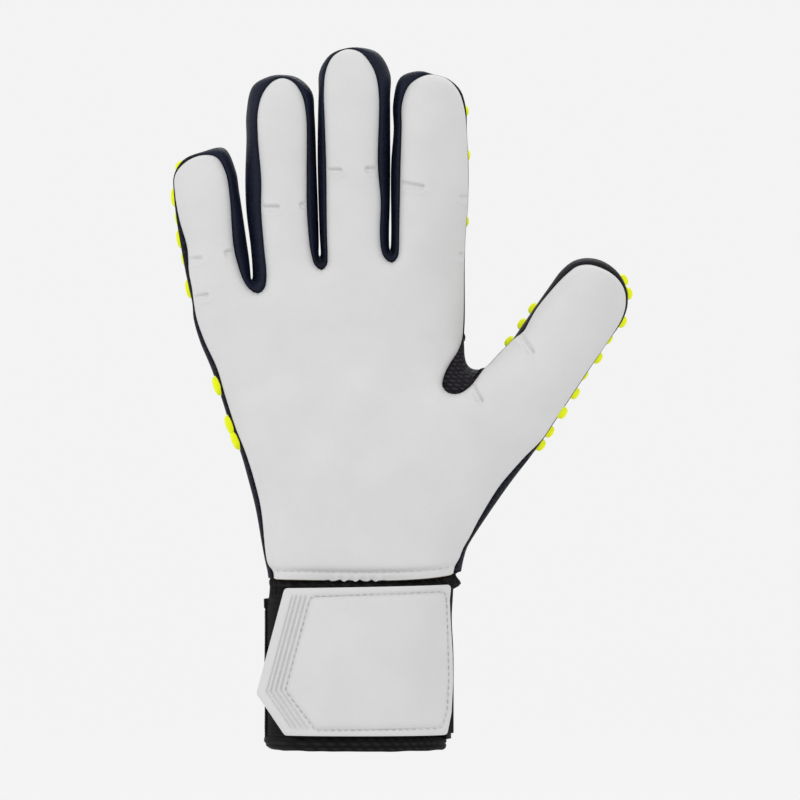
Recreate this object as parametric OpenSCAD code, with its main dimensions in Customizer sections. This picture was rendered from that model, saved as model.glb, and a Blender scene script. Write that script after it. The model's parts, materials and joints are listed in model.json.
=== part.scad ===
// Goalkeeper glove for the right hand, worn upright: palm towards -Y, thumb towards +X,
// fingers up. The origin is the centre of the wrist opening.
// Every digit is a hollow tube sewn from a foam front, a side gusset and a padded back,
// and it is divided at its two flex lines: at the palm, and at the notch half way up.

/* [Hand] */
// Length of the hand shell from the palm hem to the finger bases
hand_len = 127; // [122:1:132]
// Height of the palm hem above the wrist opening
hem_z = 65; // [62:1:68]
// Thickness of the foam palm
foam_t = 4; // [3:0.5:4.5]
// Thickness of the padded back
back_t = 3.5; // [3:0.5:4]
// Thickness of the gusset fabric and its seams
gusset_t = 2.6; // [2:0.2:3]
// Depth in front of the middle plane at which the palm is sewn to the back
hand_seam = 6; // [5:0.5:7]

/* [Index finger] */
// Place of the flex line at the palm, across the hand
index_x = 26.9; // [26.6:0.1:28]
// Height of that flex line
index_z = 191; // [190:0.5:192]
// Lean towards the thumb
index_tilt = 0.9; // [0.5:0.1:1.5]
// Length from that flex line to the tip
index_len = 69.5; // [66:0.5:72]

/* [Middle finger] */
// Place of the flex line at the palm, across the hand
middle_x = -1.4; // [-1.4:0.1:-1.2]
// Height of that flex line
middle_z = 191; // [190:0.5:192]
// Lean towards the thumb
middle_tilt = -0.4; // [-0.5:0.1:0]
// Length from that flex line to the tip
middle_len = 79.5; // [76:0.5:82]

/* [Ring finger] */
// Place of the flex line at the palm, across the hand
ring_x = -27.8; // [-28:0.1:-27.8]
// Height of that flex line
ring_z = 186; // [185:0.5:187]
// Lean towards the thumb
ring_tilt = -2.4; // [-2.6:0.1:-2.2]
// Length from that flex line to the tip
ring_len = 74; // [70:0.5:77]

/* [Little finger] */
// Place of the flex line at the palm, across the hand
little_x = -52.8; // [-53.2:0.1:-52.8]
// Height of that flex line
little_z = 177.5; // [177:0.5:178]
// Lean towards the thumb
little_tilt = -9; // [-9.5:0.1:-8.8]
// Length from that flex line to the tip
little_len = 53.5; // [51:0.5:56]

/* [Thumb] */
// Place of the flex line at the palm, across the hand
thumb_x = 57; // [56.5:0.1:57.5]
// Height of that flex line
thumb_z = 130; // [129.5:0.1:130.5]
// Lean away from the fingers
thumb_tilt = 37; // [36.5:0.1:37.5]
// Length from that flex line to the tip
thumb_len = 69.5; // [66:0.5:72]

/* [Cuff] */
// Height of the elastic cuff
cuff_h = 59; // [56:1:60]
// Width of the cuff across the wrist
cuff_w = 71.5; // [70:0.5:73]
// Depth of the cuff from palm to back
cuff_d = 42; // [40:1:44]
// Thickness of the elastic
cuff_t = 2.5; // [2:0.25:3]

/* [Strap] */
// Thickness of the moulded strap
strap_t = 2; // [1.6:0.2:2.4]
// Thickness of the foam pad on the strap
pad_t = 2.2; // [1.6:0.2:2.6]
// Thickness of the hook and the loop tape
tape_t = 0.9; // [0.7:0.1:1]
// Number of ridges on the pull end
ridge_count = 5; // [3:1:5]

/* [Raised dots] */
// Radius of a raised dot on a digit
dot_r = 2.4; // [2:0.1:2.6]
// Height of a raised dot
dot_h = 2; // [1.4:0.1:2.2]

/* [Hidden] */
$fn = 48;
digits = ["index", "middle", "ring", "little", "thumb"];

gap = 0.4;            // clearance between solids of two bodies
dot_sink = 0.2;       // depth to which a dot is bonded into the skin of a digit
squareness = 2.4;     // exponent of the superellipse that every hand and cuff section follows
crease_angle = 37;    // half angle of the groove that a flex line leaves in the foam
top_z = hem_z + hand_len;

white = "whitesmoke";
navy = [0.09, 0.11, 0.2];
black = [0.08, 0.08, 0.1];
yellow = [0.85, 1, 0];

// ---- digits -------------------------------------------------------------------------------
// A digit is [x, z, tilt, length, base radius, middle radius, distance to the notch,
// seam depth, side of the digit on which the foam rolls over (-1, 0 or 1), seam depth there,
// flex limit margins to the left and the right of its tube,
// side of the digit round which the rows of dots go on (-1, 0 or 1)].
X = 0; Z = 1; TILT = 2; LEN = 3; R_BASE = 4; R_MID = 5; NOTCH = 6; SEAM = 7; ROLL = 8; ROLL_Y = 9;
LEFT = 10; RIGHT = 11; DOT_SIDE = 12;

digit_table = [
    [index_x, index_z, index_tilt, index_len, 13.9, 14.4, 0.375 * index_len, 9.5, 1, 1, 1.2, 7, 1],
    [middle_x, middle_z, middle_tilt, middle_len, 13, 14, 0.41 * middle_len, 9.5, 0, 0, 1.2, 1.2, 0],
    [ring_x, ring_z, ring_tilt, ring_len, 12.8, 13.3, 0.3 * ring_len, 9.2, 0, 0, 1.2, 1.2, 0],
    [little_x, little_z, little_tilt, little_len, 12.3, 12.9, 0.24 * little_len, 8.8, -1, -3, 7, 1.2, -1],
    [thumb_x, thumb_z, thumb_tilt, thumb_len, 17.8, 15.6, 0.37 * thumb_len, 8, 0, 0, 1.5, 7, 1],
];

function tip_r(d) = 0.94 * d[R_MID];
function hinge_y(d) = -(d[R_BASE] - foam_t);

module digit_frame(d) {
    translate([d[X], 0, d[Z]]) rotate([0, d[TILT], 0]) children();
}

// The outline of a digit's skin, a distance off inside its outer surface.
function digit_profile(d, off) = let (tip = tip_r(d), arc_steps = 6)
    concat(
        [[0, -1], [d[R_BASE] - off, -1], [d[R_BASE] - off, 0], [d[R_MID] - off, 0.5 * d[LEN]]],
        [for (i = [0 : arc_steps - 1]) let (a = 90 * i / arc_steps)
            [(tip - off) * cos(a), d[LEN] - tip + (tip - off) * sin(a)]],
        [[0, d[LEN] - off]]
    );

module digit_solid(d, off = 0) {
    rotate_extrude() polygon(digit_profile(d, off));
}

reach = 40;           // half size of the cutting shapes, beyond any digit

// The part of a digit's cross-section that each panel takes.
module front_zone(d) {
    s = d[ROLL];
    polygon(s == 0
        ? [[-reach, -reach], [reach, -reach], [reach, -d[SEAM]], [-reach, -d[SEAM]]]
        : [[-s * reach, -reach], [s * reach, -reach], [s * reach, d[ROLL_Y]], [0, d[ROLL_Y]],
           [0, -d[SEAM]], [-s * reach, -d[SEAM]]]);
}

module back_zone(d) {
    s = d[ROLL];
    polygon(s == 0
        ? [[-reach, reach], [reach, reach], [reach, d[SEAM]], [-reach, d[SEAM]]]
        : [[-s * reach, reach], [s * reach, reach], [s * reach, d[ROLL_Y]], [0, d[ROLL_Y]],
           [0, d[SEAM]], [-s * reach, d[SEAM]]]);
}

module gusset_zone(d) {
    s = d[ROLL];
    polygon(s == 0
        ? [[-reach, -d[SEAM]], [reach, -d[SEAM]], [reach, d[SEAM]], [-reach, d[SEAM]]]
        : [[-s * reach, -d[SEAM]], [0, -d[SEAM]], [0, d[SEAM]], [-s * reach, d[SEAM]]]);
}

// A groove across the foam at a flex line, its bottom on the hinge axis.
module crease(d, height, width = 2 * reach) {
    deep = 14;
    y = hinge_y(d);
    rise = deep * tan(crease_angle);
    translate([0, 0, height]) rotate([90, 0, 90]) linear_extrude(width, center = true)
        polygon([[y, 0], [y - deep, rise], [y - deep, -rise]]);
}

function half_span(d, half) = half == "lower" ? [gap, d[NOTCH] - gap / 2] : [d[NOTCH] + gap / 2, d[LEN] + 1];

module digit_half(d, half, off) {
    span = half_span(d, half);
    difference() {
        intersection() {
            difference() {
                digit_solid(d);
                digit_solid(d, off);
            }
            translate([0, 0, span[0]]) linear_extrude(span[1] - span[0]) children();
        }
        if (half == "lower") crease(d, 0);
        crease(d, d[NOTCH]);
    }
}

module digit_foam(d, half) {
    color(white) digit_frame(d) digit_half(d, half, foam_t) front_zone(d);
}

module digit_gusset(d, half) {
    color(navy) digit_frame(d) digit_half(d, half, gusset_t) gusset_zone(d);
}

module digit_back(d, half) {
    color(black) digit_frame(d) digit_half(d, half, back_t) back_zone(d);
}

// Radius of a digit's outer surface at a height above its flex line at the palm.
function digit_r(d, z) = let (half = 0.5 * d[LEN], shoulder = d[LEN] - tip_r(d))
    z < half ? d[R_BASE] + (d[R_MID] - d[R_BASE]) * z / half
    : d[R_MID] + (tip_r(d) - d[R_MID]) * min(1, (z - half) / (shoulder - half));

// A moulded rubber dot that stands on the plane z = 0.
module dot() {
    rotate_extrude($fn = 24)
        polygon([[0, 0], [dot_r, 0], [0.9 * dot_r, 0.6 * dot_h], [0.55 * dot_r, dot_h], [0, dot_h]]);
}

// Angles from the middle of the back at which a row of dots has one, two kinds of row in turn.
function row_angles(d, i) = i % 2 == 0
    ? concat([-32, 0, 32], d[DOT_SIDE] == 0 ? [] : [-64 * d[DOT_SIDE]])
    : concat([-16, 16], d[DOT_SIDE] == 0 ? [] : [-48 * d[DOT_SIDE], -76 * d[DOT_SIDE]]);

// Raised dots in staggered rows on the back of one half of a digit.
module digit_dots(d, half) {
    pitch = 7;
    edge = 4;
    low = (half == "lower" ? 0 : d[NOTCH]) + edge;
    high = half == "lower" ? d[NOTCH] - edge : d[LEN] - tip_r(d);
    rows = max(0, floor((high - low) / pitch));
    color(yellow) digit_frame(d)
        for (i = [0 : rows]) let (z = rows == 0 ? (low + high) / 2 : low + i * (high - low) / rows)
            for (a = row_angles(d, i))
                rotate([0, 0, a]) translate([0, digit_r(d, z) - dot_sink, z]) rotate([-90, 0, 0]) dot();
}

// ---- hand ---------------------------------------------------------------------------------
// Sections of the hand from the hem up: [share of its length, left edge, right edge, half depth].
hand_outline = [
    [0, -35, 38.5, 20.5], [0.1, -37, 42, 20.5], [0.21, -40, 51, 21], [0.32, -43.5, 62, 21.5],
    [0.42, -47, 73, 21], [0.51, -51.5, 70, 20], [0.58, -54, 56, 19], [0.65, -57, 42, 18],
    [0.75, -62, 40.3, 17], [0.87, -66.5, 40.8, 15.5], [1, -68, 41.2, 15],
];
around = 18;          // facets around one panel of the hand

function bent_cos(t) = sign(cos(t)) * pow(abs(cos(t)), 2 / squareness);
function bent_sin(t) = sign(sin(t)) * pow(abs(sin(t)), 2 / squareness);
function seam_angle(depth) = asin(pow(hand_seam / depth, squareness / 2));

function skin_point(s, off, t) = [
    (s[1] + s[2]) / 2 + ((s[2] - s[1]) / 2 - off) * bent_cos(t),
    (s[3] - off) * bent_sin(t),
    hem_z + s[0] * hand_len
];

// Angle of the i-th point around the palm side or the back side, from seam to seam.
function panel_angle(s, off, side, i) = let (a = seam_angle(s[3] - off))
    side == "palm" ? 180 + a + (180 - 2 * a) * i / around : -a + (180 + 2 * a) * i / around;

// One side of the hand as a closed shell between two depths below its outer surface.
module hand_panel(side, off_out, off_in) {
    rows = len(hand_outline);
    n = around + 1;
    points = [for (off = [off_out, off_in]) for (s = hand_outline) for (i = [0 : around])
        skin_point(s, off, panel_angle(s, off, side, i))];
    inner = rows * n;
    function quad(a, b, c, d) = [[a, c, b], [a, d, c]];
    faces = [for (q = concat(
        [for (r = [0 : rows - 2]) for (i = [0 : around - 1])
            quad(r * n + i, r * n + i + 1, (r + 1) * n + i + 1, (r + 1) * n + i)],
        [for (r = [0 : rows - 2]) for (i = [0 : around - 1])
            quad(inner + r * n + i + 1, inner + r * n + i, inner + (r + 1) * n + i, inner + (r + 1) * n + i + 1)],
        [for (r = [0 : rows - 2])
            quad(inner + r * n, r * n, (r + 1) * n, inner + (r + 1) * n)],
        [for (r = [0 : rows - 2])
            quad(r * n + around, inner + r * n + around, inner + (r + 1) * n + around, (r + 1) * n + around)],
        [for (i = [0 : around - 1]) quad(i + 1, i, inner + i, inner + i + 1)],
        [for (i = [0 : around - 1]) let (o = (rows - 1) * n)
            quad(o + i, o + i + 1, inner + o + i + 1, inner + o + i)]
    )) for (f = q) f];
    polyhedron(points, faces);
}

// Everything that lies beyond a digit's flex line at the palm, or beyond a margin below it.
module beyond_bases(margin = 0) {
    for (d = digit_table) digit_frame(d)
        translate([-d[R_BASE] - d[LEFT], -reach, -margin])
            cube([2 * d[R_BASE] + d[LEFT] + d[RIGHT], 2 * reach, 60]);
}

// The grooves across the palm at the digits' flex lines.
module base_creases() {
    for (d = digit_table) digit_frame(d) crease(d, 0, 2 * d[R_BASE] + 2);
}

// The way through the hand shell into the thumb.
module thumb_way() {
    d = digit_table[4];
    digit_frame(d) translate([0, 0, -45]) cylinder(r = d[R_BASE] - foam_t, h = 50);
}

// Webs between two neighbouring fingers: [x, z, outer radius].
webs = [
    [(index_x + middle_x) / 2 - 0.3, min(index_z, middle_z), 4],
    [(middle_x + ring_x) / 2 - 0.1, ring_z + 1.5, 4],
    [(ring_x + little_x) / 2 - 0.2, little_z + 3, 4.6],
];

module web_cuts(grow = 0) {
    for (w = webs) translate([w[0], 0, w[1]])
        rotate([90, 0, 0]) cylinder(r = w[2] + grow, h = 2 * reach, center = true);
}

// Opening at the thumb's crotch, filled by a stretch patch.
crotch = [41.5, 145.5];
crotch_r = 7.5;

module crotch_plug(r) {
    translate([crotch[0], 0, crotch[1]]) rotate([90, 0, 0]) cylinder(r = r, h = reach);
}

module palm_foam() {
    color(white) difference() {
        hand_panel("palm", 0, foam_t);
        beyond_bases();
        thumb_way();
        web_cuts();
        crotch_plug(crotch_r);
        base_creases();
        translate([0, -reach, hem_z]) cube([2 * reach, 2 * reach, 8], center = true);
    }
}

module palm_hem() {
    color(white) intersection() {
        hand_panel("palm", 1.2, foam_t);
        translate([0, -reach, hem_z]) cube([2 * reach, 2 * reach, 8], center = true);
    }
}

module hand_back() {
    color(black) difference() {
        hand_panel("back", 0, back_t);
        beyond_bases();
        thumb_way();
        web_cuts();
    }
}

module hand_lining() {
    lining_t = 0.8;
    ease = 0.3;       // space between the foam and the lining
    color([0.2, 0.2, 0.22]) for (side = ["palm", "back"]) difference() {
        hand_panel(side, foam_t + ease, foam_t + ease + lining_t);
        beyond_bases(4);
        thumb_way();
        web_cuts(ease);
    }
}

// A gusset strip bends down one finger's side and up the next in the shape of a U.
module web_gussets() {
    half_depth = 10;
    color(navy) difference() {
        for (w = webs) translate([w[0], 0, w[1]]) rotate([90, 0, 0]) difference() {
            cylinder(r = w[2], h = 2 * half_depth, center = true);
            cylinder(r = w[2] - gusset_t, h = 2 * half_depth + 2, center = true);
            translate([-reach, 0, -reach]) cube(2 * reach);
        }
        beyond_bases();
        base_creases();
    }
}

module thumb_web() {
    color(black) difference() {
        intersection() {
            hand_panel("palm", 0.8, foam_t - 0.6);
            crotch_plug(crotch_r - 0.1);
        }
        beyond_bases();
    }
}

// Section of the hand at a height, between two of the listed ones.
function section_at(z) = let (
    share = (z - hem_z) / hand_len,
    below = [for (k = [0 : len(hand_outline) - 2]) if (hand_outline[k][0] <= share) k],
    i = below[len(below) - 1],
    a = hand_outline[i],
    b = hand_outline[i + 1]
) a + (b - a) * (share - a[0]) / (b[0] - a[0]);

function back_y(x, z) = let (s = section_at(z), half = (s[2] - s[1]) / 2)
    s[3] * pow(1 - pow(abs(x - (s[1] + s[2]) / 2) / half, squareness), 1 / squareness);

// Raised dots in staggered rows over the knuckles and down the back of the hand, and along the
// edge of the hand below the little finger.
module hand_dots() {
    pitch_x = 11;
    pitch_z = 9;
    sink = 0.4;
    color(yellow) difference() {
        union() {
            for (row = [0 : 5]) for (col = [0 : 6 - row % 2]) let (
                x = -48 + col * pitch_x + (row % 2) * pitch_x / 2,
                z = 170 - row * pitch_z
            ) translate([x, back_y(x, z) - sink, z]) rotate([-90, 0, 0]) dot();
            for (z = [119, 125, 140])
                translate([section_at(z)[1] + sink, 0, z]) rotate([0, -90, 0]) dot();
        }
        hand_panel("back", 0, back_t);
    }
}

// ---- wrist and cuff -----------------------------------------------------------------------
function oval(grow, steps = 64) = [for (i = [0 : steps - 1]) let (t = 360 * i / steps)
    [(cuff_w / 2 + grow) * bent_cos(t), (cuff_d / 2 + grow) * bent_sin(t)]];

module oval_ring(out, in, z0, z1) {
    translate([0, 0, z0]) linear_extrude(z1 - z0) difference() {
        polygon(oval(out));
        polygon(oval(in));
    }
}

module wrist_gore() {
    color(black) oval_ring(-0.4, -cuff_t, cuff_h, hem_z);
}

module cuff_band() {
    color(black) oval_ring(0, -cuff_t, 0, cuff_h);
}

module cuff_hem() {
    color(black) oval_ring(0.9, 0, 0, 4.5);
}

// Loop tape on the palm side of the cuff, where the strap's hooks grip.
module loop_patch() {
    color([0.12, 0.12, 0.13]) intersection() {
        oval_ring(tape_t, 0, 10, cuff_h - 4);
        translate([-29, -reach, 0]) cube([52, reach, cuff_h]);
    }
}

// The strap's elastic part, sewn round the back of the cuff from the strap's root at the thumb side.
module strap_elastic() {
    left_y = -4;
    root_y = layer_y(strap_right, strap_off) + gap;
    color(black) intersection() {
        oval_ring(1.8, 0, 6, cuff_h - 1);
        linear_extrude(cuff_h) polygon([[-reach, left_y], [0, left_y], [0, root_y], [reach, root_y],
                                        [reach, reach], [-reach, reach]]);
    }
}

// ---- strap --------------------------------------------------------------------------------
strap_off = 2 * tape_t + gap;        // inner face of the strap above the cuff
strap_left = -39;
strap_bend = -27;                    // left of this the strap leaves the wrist in a straight line
strap_right = 36.4;
strap_low = 5.5;
strap_high = 63;
strap_point = 22;                    // height of the pull end's corner

// Depth of the strap's layer at x, a distance off outside the cuff.
function layer_y(x, off) = let (
    half = cuff_w / 2 + off,
    held = max(x, strap_bend),
    u = min(0.9999, abs(held) / half),
    y = -(cuff_d / 2 + off) * pow(1 - pow(u, squareness), 1 / squareness),
    slope = 0.5
) y + (held - x) * slope;

// A layer of the strap, between two distances outside the cuff.
module strap_layer(near, far) {
    steps = 22;
    xs = [for (i = [0 : steps]) strap_left + (strap_right - strap_left) * sin(90 * i / steps)];
    translate([0, 0, strap_low]) linear_extrude(strap_high - strap_low)
        polygon(concat([for (x = xs) [x, layer_y(x, near)]],
                       [for (i = [steps : -1 : 0]) [xs[i], layer_y(xs[i], far)]]));
}

// The strap's outline seen from the palm side, a distance inside its edge.
module strap_outline(inset = 0, corner = 1.5) {
    rotate([90, 0, 0]) linear_extrude(reach) offset(r = corner) offset(delta = -inset - corner)
        polygon([[-28.5, strap_low], [strap_left, strap_point], [-28.5, strap_high - 0.8],
                 [strap_right + 8, strap_high + 0.8], [strap_right + 8, strap_low]]);
}

module strap_band() {
    color(white) difference() {
        intersection() {
            strap_layer(strap_off, strap_off + strap_t);
            strap_outline();
        }
        for (i = [1 : ridge_count]) ridge_groove(1.6 * i);
    }
}

// A shallow chevron groove, parallel to the pull end's two edges.
module ridge_groove(inset) {
    groove_w = 0.6;
    depth = 0.6;
    intersection() {
        strap_layer(strap_off + strap_t - depth, strap_off + strap_t + 1);
        translate([strap_left, -reach, 0]) cube([21, reach, strap_high]);
        difference() {
            strap_outline(inset);
            strap_outline(inset + groove_w);
        }
    }
}

module strap_pad() {
    color(white) intersection() {
        strap_layer(strap_off + strap_t, strap_off + strap_t + pad_t);
        rotate([90, 0, 0]) linear_extrude(reach) offset(r = 2) offset(delta = -2)
            polygon([[-16.5, strap_low + 2.5], [-28, 23.5], [-18.5, strap_high - 4.5],
                     [strap_right - 2.6, strap_high - 2.6], [strap_right - 4, strap_low + 3]]);
    }
}

module strap_hook() {
    color([0.1, 0.1, 0.11]) intersection() {
        strap_layer(strap_off - tape_t, strap_off);
        translate([-28, -reach, 14]) cube([26, reach, 38]);
    }
}

palm_foam();
palm_hem();
hand_back();
hand_lining();
web_gussets();
thumb_web();
hand_dots();
wrist_gore();
cuff_band();
cuff_hem();
loop_patch();
strap_elastic();
strap_band();
strap_pad();
strap_hook();
for (i = [0 : len(digits) - 1]) for (half = ["lower", "upper"]) {
    digit_foam(digit_table[i], half);
    digit_gusset(digit_table[i], half);
    digit_back(digit_table[i], half);
    digit_dots(digit_table[i], half);
}
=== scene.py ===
"""Right-hand goalkeeper glove: sewn panels, seams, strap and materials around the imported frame."""
import json
import math

import bpy
import numpy as np
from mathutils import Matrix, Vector, noise
from mathutils.bvhtree import BVHTree
from mathutils.geometry import delaunay_2d_cdt


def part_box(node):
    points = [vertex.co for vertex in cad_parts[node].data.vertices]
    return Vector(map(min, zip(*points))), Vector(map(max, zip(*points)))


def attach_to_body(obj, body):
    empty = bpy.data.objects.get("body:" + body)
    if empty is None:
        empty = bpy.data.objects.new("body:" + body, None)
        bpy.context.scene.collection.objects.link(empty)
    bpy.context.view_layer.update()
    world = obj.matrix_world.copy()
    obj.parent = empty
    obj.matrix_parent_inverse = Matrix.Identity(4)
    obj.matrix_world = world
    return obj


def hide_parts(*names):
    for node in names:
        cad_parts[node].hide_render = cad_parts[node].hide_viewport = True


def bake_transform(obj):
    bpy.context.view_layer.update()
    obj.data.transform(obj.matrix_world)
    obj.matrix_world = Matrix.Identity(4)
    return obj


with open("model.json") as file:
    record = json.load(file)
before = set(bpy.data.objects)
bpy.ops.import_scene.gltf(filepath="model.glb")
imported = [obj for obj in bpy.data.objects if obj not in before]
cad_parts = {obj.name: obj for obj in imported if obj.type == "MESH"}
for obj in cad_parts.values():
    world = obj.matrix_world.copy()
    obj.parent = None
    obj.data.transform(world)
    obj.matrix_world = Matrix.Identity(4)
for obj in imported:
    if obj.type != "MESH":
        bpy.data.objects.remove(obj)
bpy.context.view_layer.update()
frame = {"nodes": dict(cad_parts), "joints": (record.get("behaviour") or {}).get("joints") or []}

MM = 0.001
FRONT, BACK = -1, 1


# ---- the frame's digits ----
def node_points(name):
    return np.array([v.co for v in frame["nodes"][name].data.vertices]) / MM


# How much wider than its tube a digit is at places along it: (digit, towards the thumb?) and
# millimetres from the second place on. Then how much squarer its tip is on one side, and how
# closely that stays at the tip's corner.
FULLER_AT, NO_FULLER = (4, 12, 24, 38, 52), (0, 0, 0, 0)
FULLER = {("little", True): (0.0, -0.1, 0.5, 1.2), ("ring", False): (0.65, 1.35, 0.9, 0.2),
          ("ring", True): (0.35, 0.2, 0.1, 0.9), ("middle", False): (0.35, 0.1, 0.1, 0.1),
          ("middle", True): (0.5, 0.3, 0.25, 0.9), ("index", False): (0.5, 0.4, 0.3, 0.0),
          ("index", True): (1.0, 1.1, 0.7, 0.4), ("thumb", False): (-0.6, -1.4, 0.0, 1.1)}
SQUARER = {("little", True): 0.3, ("ring", False): 0.05, ("ring", True): 0.08, ("middle", False): 0.05,
           ("middle", True): 0.1, ("index", False): 0.24, ("thumb", False): 0.05,
           ("thumb", True): -0.04}
SHARPER = {"little": 4}
# Radius of a fingertip as a share of the digit's radius at its middle.
TIP_SHARE = 0.94


class Digit:
    """A digit's own directions and sizes in millimetres, read from its hinges and its tube."""

    def __init__(self, name, start, end):
        hinges = {j["name"]: j for j in frame["joints"]}
        base, mid = hinges[name + "_base_flex"], hinges[name + "_mid_flex"]
        self.name, self.start, self.end = name, start, end
        self.hinge = np.array(base["pos_m"]) / MM
        self.across = np.array(base["axis"])
        self.along = np.array([-self.across[2], 0.0, self.across[0]])
        self.notch = (np.array(mid["pos_m"]) / MM - self.hinge) @ self.along
        s, r = self.tube(node_points(name + "_back_lower"))
        self.r_base = r[s < s.min() + 1].max()
        self.length = self.tube(node_points(name + "_gusset_upper"))[0].max()
        s, r = self.tube(node_points(name + "_back_upper"))
        self.r_mid = r[np.abs(s - 0.5 * self.length) < 1].max()
        self.r_tip = TIP_SHARE * self.r_mid
        self.shoulder = self.length - self.r_tip

    def tube(self, points):
        """Place along the digit and distance from its middle line."""
        d = points - self.hinge * [1, 0, 1]
        return d @ self.along, np.hypot(d @ self.across, d[:, 1])

    def local(self, xz):
        """Places along and across the digit."""
        d = xz - self.hinge[[0, 2]]
        return d @ self.along[[0, 2]], d @ self.across[[0, 2]]

    def radius(self, s):
        return np.interp(s, [0, 0.5 * self.length, self.shoulder], [self.r_base, self.r_mid, self.r_tip])

    def at(self, s, u):
        """(x, z) of a place along and across the digit."""
        p = self.hinge + s * self.along + u * self.across
        return p[0], p[2]

    def reach(self, s, u):
        """How far the silhouette lies from the middle line, on the side that u lies on."""
        left, right = (np.interp(s, FULLER_AT, (0, *FULLER.get((self.name, side), NO_FULLER)))
                       for side in (False, True))
        return self.radius(s) + np.where(np.asarray(u) > 0, right, left)

    def side(self, s, u):
        """The point of the digit's silhouette that faces the place (s, u)."""
        if s < self.shoulder:
            return s, math.copysign(self.reach(s, u), u)
        a = math.atan2(s - self.shoulder, u)
        corner = 1 + SQUARER.get((self.name, u > 0), 0) * abs(math.sin(2 * a)) ** SHARPER.get(self.name, 1)
        across = float(self.reach(s, u)) * corner * math.cos(a)
        return self.shoulder + self.r_tip * corner * math.sin(a), across


# Each digit's fabric belongs to the hand's piece before the first place along it, and faces wholly past the
# second make the digit's upper piece.
DIGITS = {d.name: d for d in (Digit("little", 2.5, 7.5), Digit("ring", 4.5, 16), Digit("middle", 2, 14),
                              Digit("index", 2, 14), Digit("thumb", 0, 13))}

# ---- outlines ----
# The palm panel's edge on each digit, from its little-finger side over the tip to its thumb
# side: millimetres along the digit, millimetres across it, and depth of the seam in front of
# the middle plane.
EDGES = {
    "little": [(8, -11.1, 4), (18, -10.3, 3.5), (29, -11.6, 3), (39, -11.7, 2.5), (46, -10.6, 3),
               (50.4, -5.8, 4), (52, 0.8, 5), (50.2, 6.4, 7), (43.8, 8.9, 8.5), (36, 9.1, 8.8),
               (15.5, 7.5, 8.8), (9, 7.9, 8.8)],
    "ring": [(8, -7.9, 9.2), (22, -8.4, 9.2), (34, -7.9, 9.2), (50, -8.5, 9.1), (60, -8.1, 8.8),
             (67, -5.9, 8), (71.4, -2, 7), (72.6, 1.8, 6.6), (70.8, 5.9, 7.4), (65.8, 9, 8.4),
             (58, 10.3, 9), (36, 9.6, 9.2), (22, 9.1, 9.2), (8, 9.6, 9.2)],
    "middle": [(8, -10.4, 9.5), (34, -10.5, 9.5), (50, -10.9, 9.4), (62, -11.2, 8.8), (70, -10.5, 7),
               (76, -7.8, 4), (79, -2.8, 1), (78, 2.4, 3.2), (74, 6.2, 6.5), (68.5, 8.8, 8.4),
               (60, 9.9, 9.3), (34, 9.3, 9.5), (20, 10.3, 9.5), (8, 9.9, 9.5)],
    "index": [(8, -11.1, 9.5), (34, -11, 9.5), (48, -10.8, 9.2), (57.5, -10.8, 7.5), (64.6, -8.3, 5.5),
              (68.3, -3.6, 3), (69.3, 1, 1.2), (67.6, 6.6, 0.6), (63, 10.9, 0.4), (56, 13.3, 0.3),
              (48, 14.2, 0.2), (34, 15, 0.2), (20, 15.2, 0.2), (8, 14.6, 0.2)],
    "thumb": [(9, -16.9, 6), (17, -15.6, 5), (24, -14.7, 5), (29, -13.4, 7), (33, -13.9, 8), (39, -14.6, 6),
              (49, -14.3, 6), (56.5, -13.4, 6), (61.5, -11.9, 6), (64.6, -8.8, 6), (66.4, -4.6, 5.5),
              (67.2, 0.5, 5), (66.6, 5, 4), (64.5, 8.9, 3), (60.4, 12.2, 2), (55, 14.1, 1.5),
              (46, 14.9, 1.5), (32, 15.5, 2), (19, 16.3, 3), (8, 16.9, 4), (0, 17.3, 5)],
}
# The rest of that edge: x, z and seam depth, and x, z of the silhouette beside it.
HAND_SIDE = [(-32.4, 64.5, 7, -34.6, 64.5), (-32.6, 66.9, 7, -34.9, 66.9), (-34.6, 70.3, 6.5, -35.6, 70.3),
             (-35.3, 73.6, 6.5, -36.2, 73.6), (-37.3, 93, 6, -39.5, 93), (-39.9, 104, 6, -42.3, 104),
             (-43.2, 114.5, 6, -45.3, 114.5), (-47, 124, 6, -49, 124), (-50.9, 136, 6, -52.8, 136),
             (-54.2, 147, 6, -56.6, 147), (-59, 157.5, 6, -61, 157.5), (-62, 166, 5.5, -63.4, 166),
             (-63.1, 172, 5, -63.9, 172), (-63.9, 178, 5, -65.2, 178)]
WEB_LITTLE = [(-43.9, 180.6, 9, -41.35, 182.9), (-41.6, 177.4, 9.3, -41.2, 181.7),
              (-38.4, 175.7, 9.4, -40.95, 181.4), (-35.9, 177.6, 9.4, -40.75, 181.8),
              (-35.1, 182.5, 9.3, -40.65, 183.4)]
WEB_RING = [(-17.7, 190, 9.5, -15.1, 191.3), (-16.6, 186.7, 9.7, -14.95, 190.5),
            (-13.9, 184.7, 9.9, -14.76, 190.2), (-11.9, 186.7, 9.7, -14.55, 190.5),
            (-11.6, 190.5, 9.6, -14.42, 191.5)]
WEB_MIDDLE = [(9, 192.4, 9.8, 12.1, 194), (10.3, 189.3, 9.9, 12.25, 193.1), (13.1, 187.5, 10, 12.35, 192.8),
              (15.3, 189.6, 9.9, 12.45, 193.1), (15.8, 192.6, 9.8, 12.6, 194)]
INDEX_SIDE = [(41.0, 189, 0.2, 41.2, 189), (40.7, 166, 0.8, 41.2, 166)]
CROTCH = [(40.1, 158.3, 2, 40.9, 158.7), (38.4, 153.4, 5, 41, 154.8), (35.4, 148.8, 8, 41.2, 151.7),
          (33.1, 144, 10, 41.8, 149.2), (32.5, 140, 11, 42.9, 147.6), (34.8, 137.5, 11.5, 44.3, 146.8),
          (39, 137.3, 11.5, 45.6, 146.6), (43, 139.9, 10.5, 46.8, 146.6), (46, 143.6, 9, 48, 147.2)]
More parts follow.
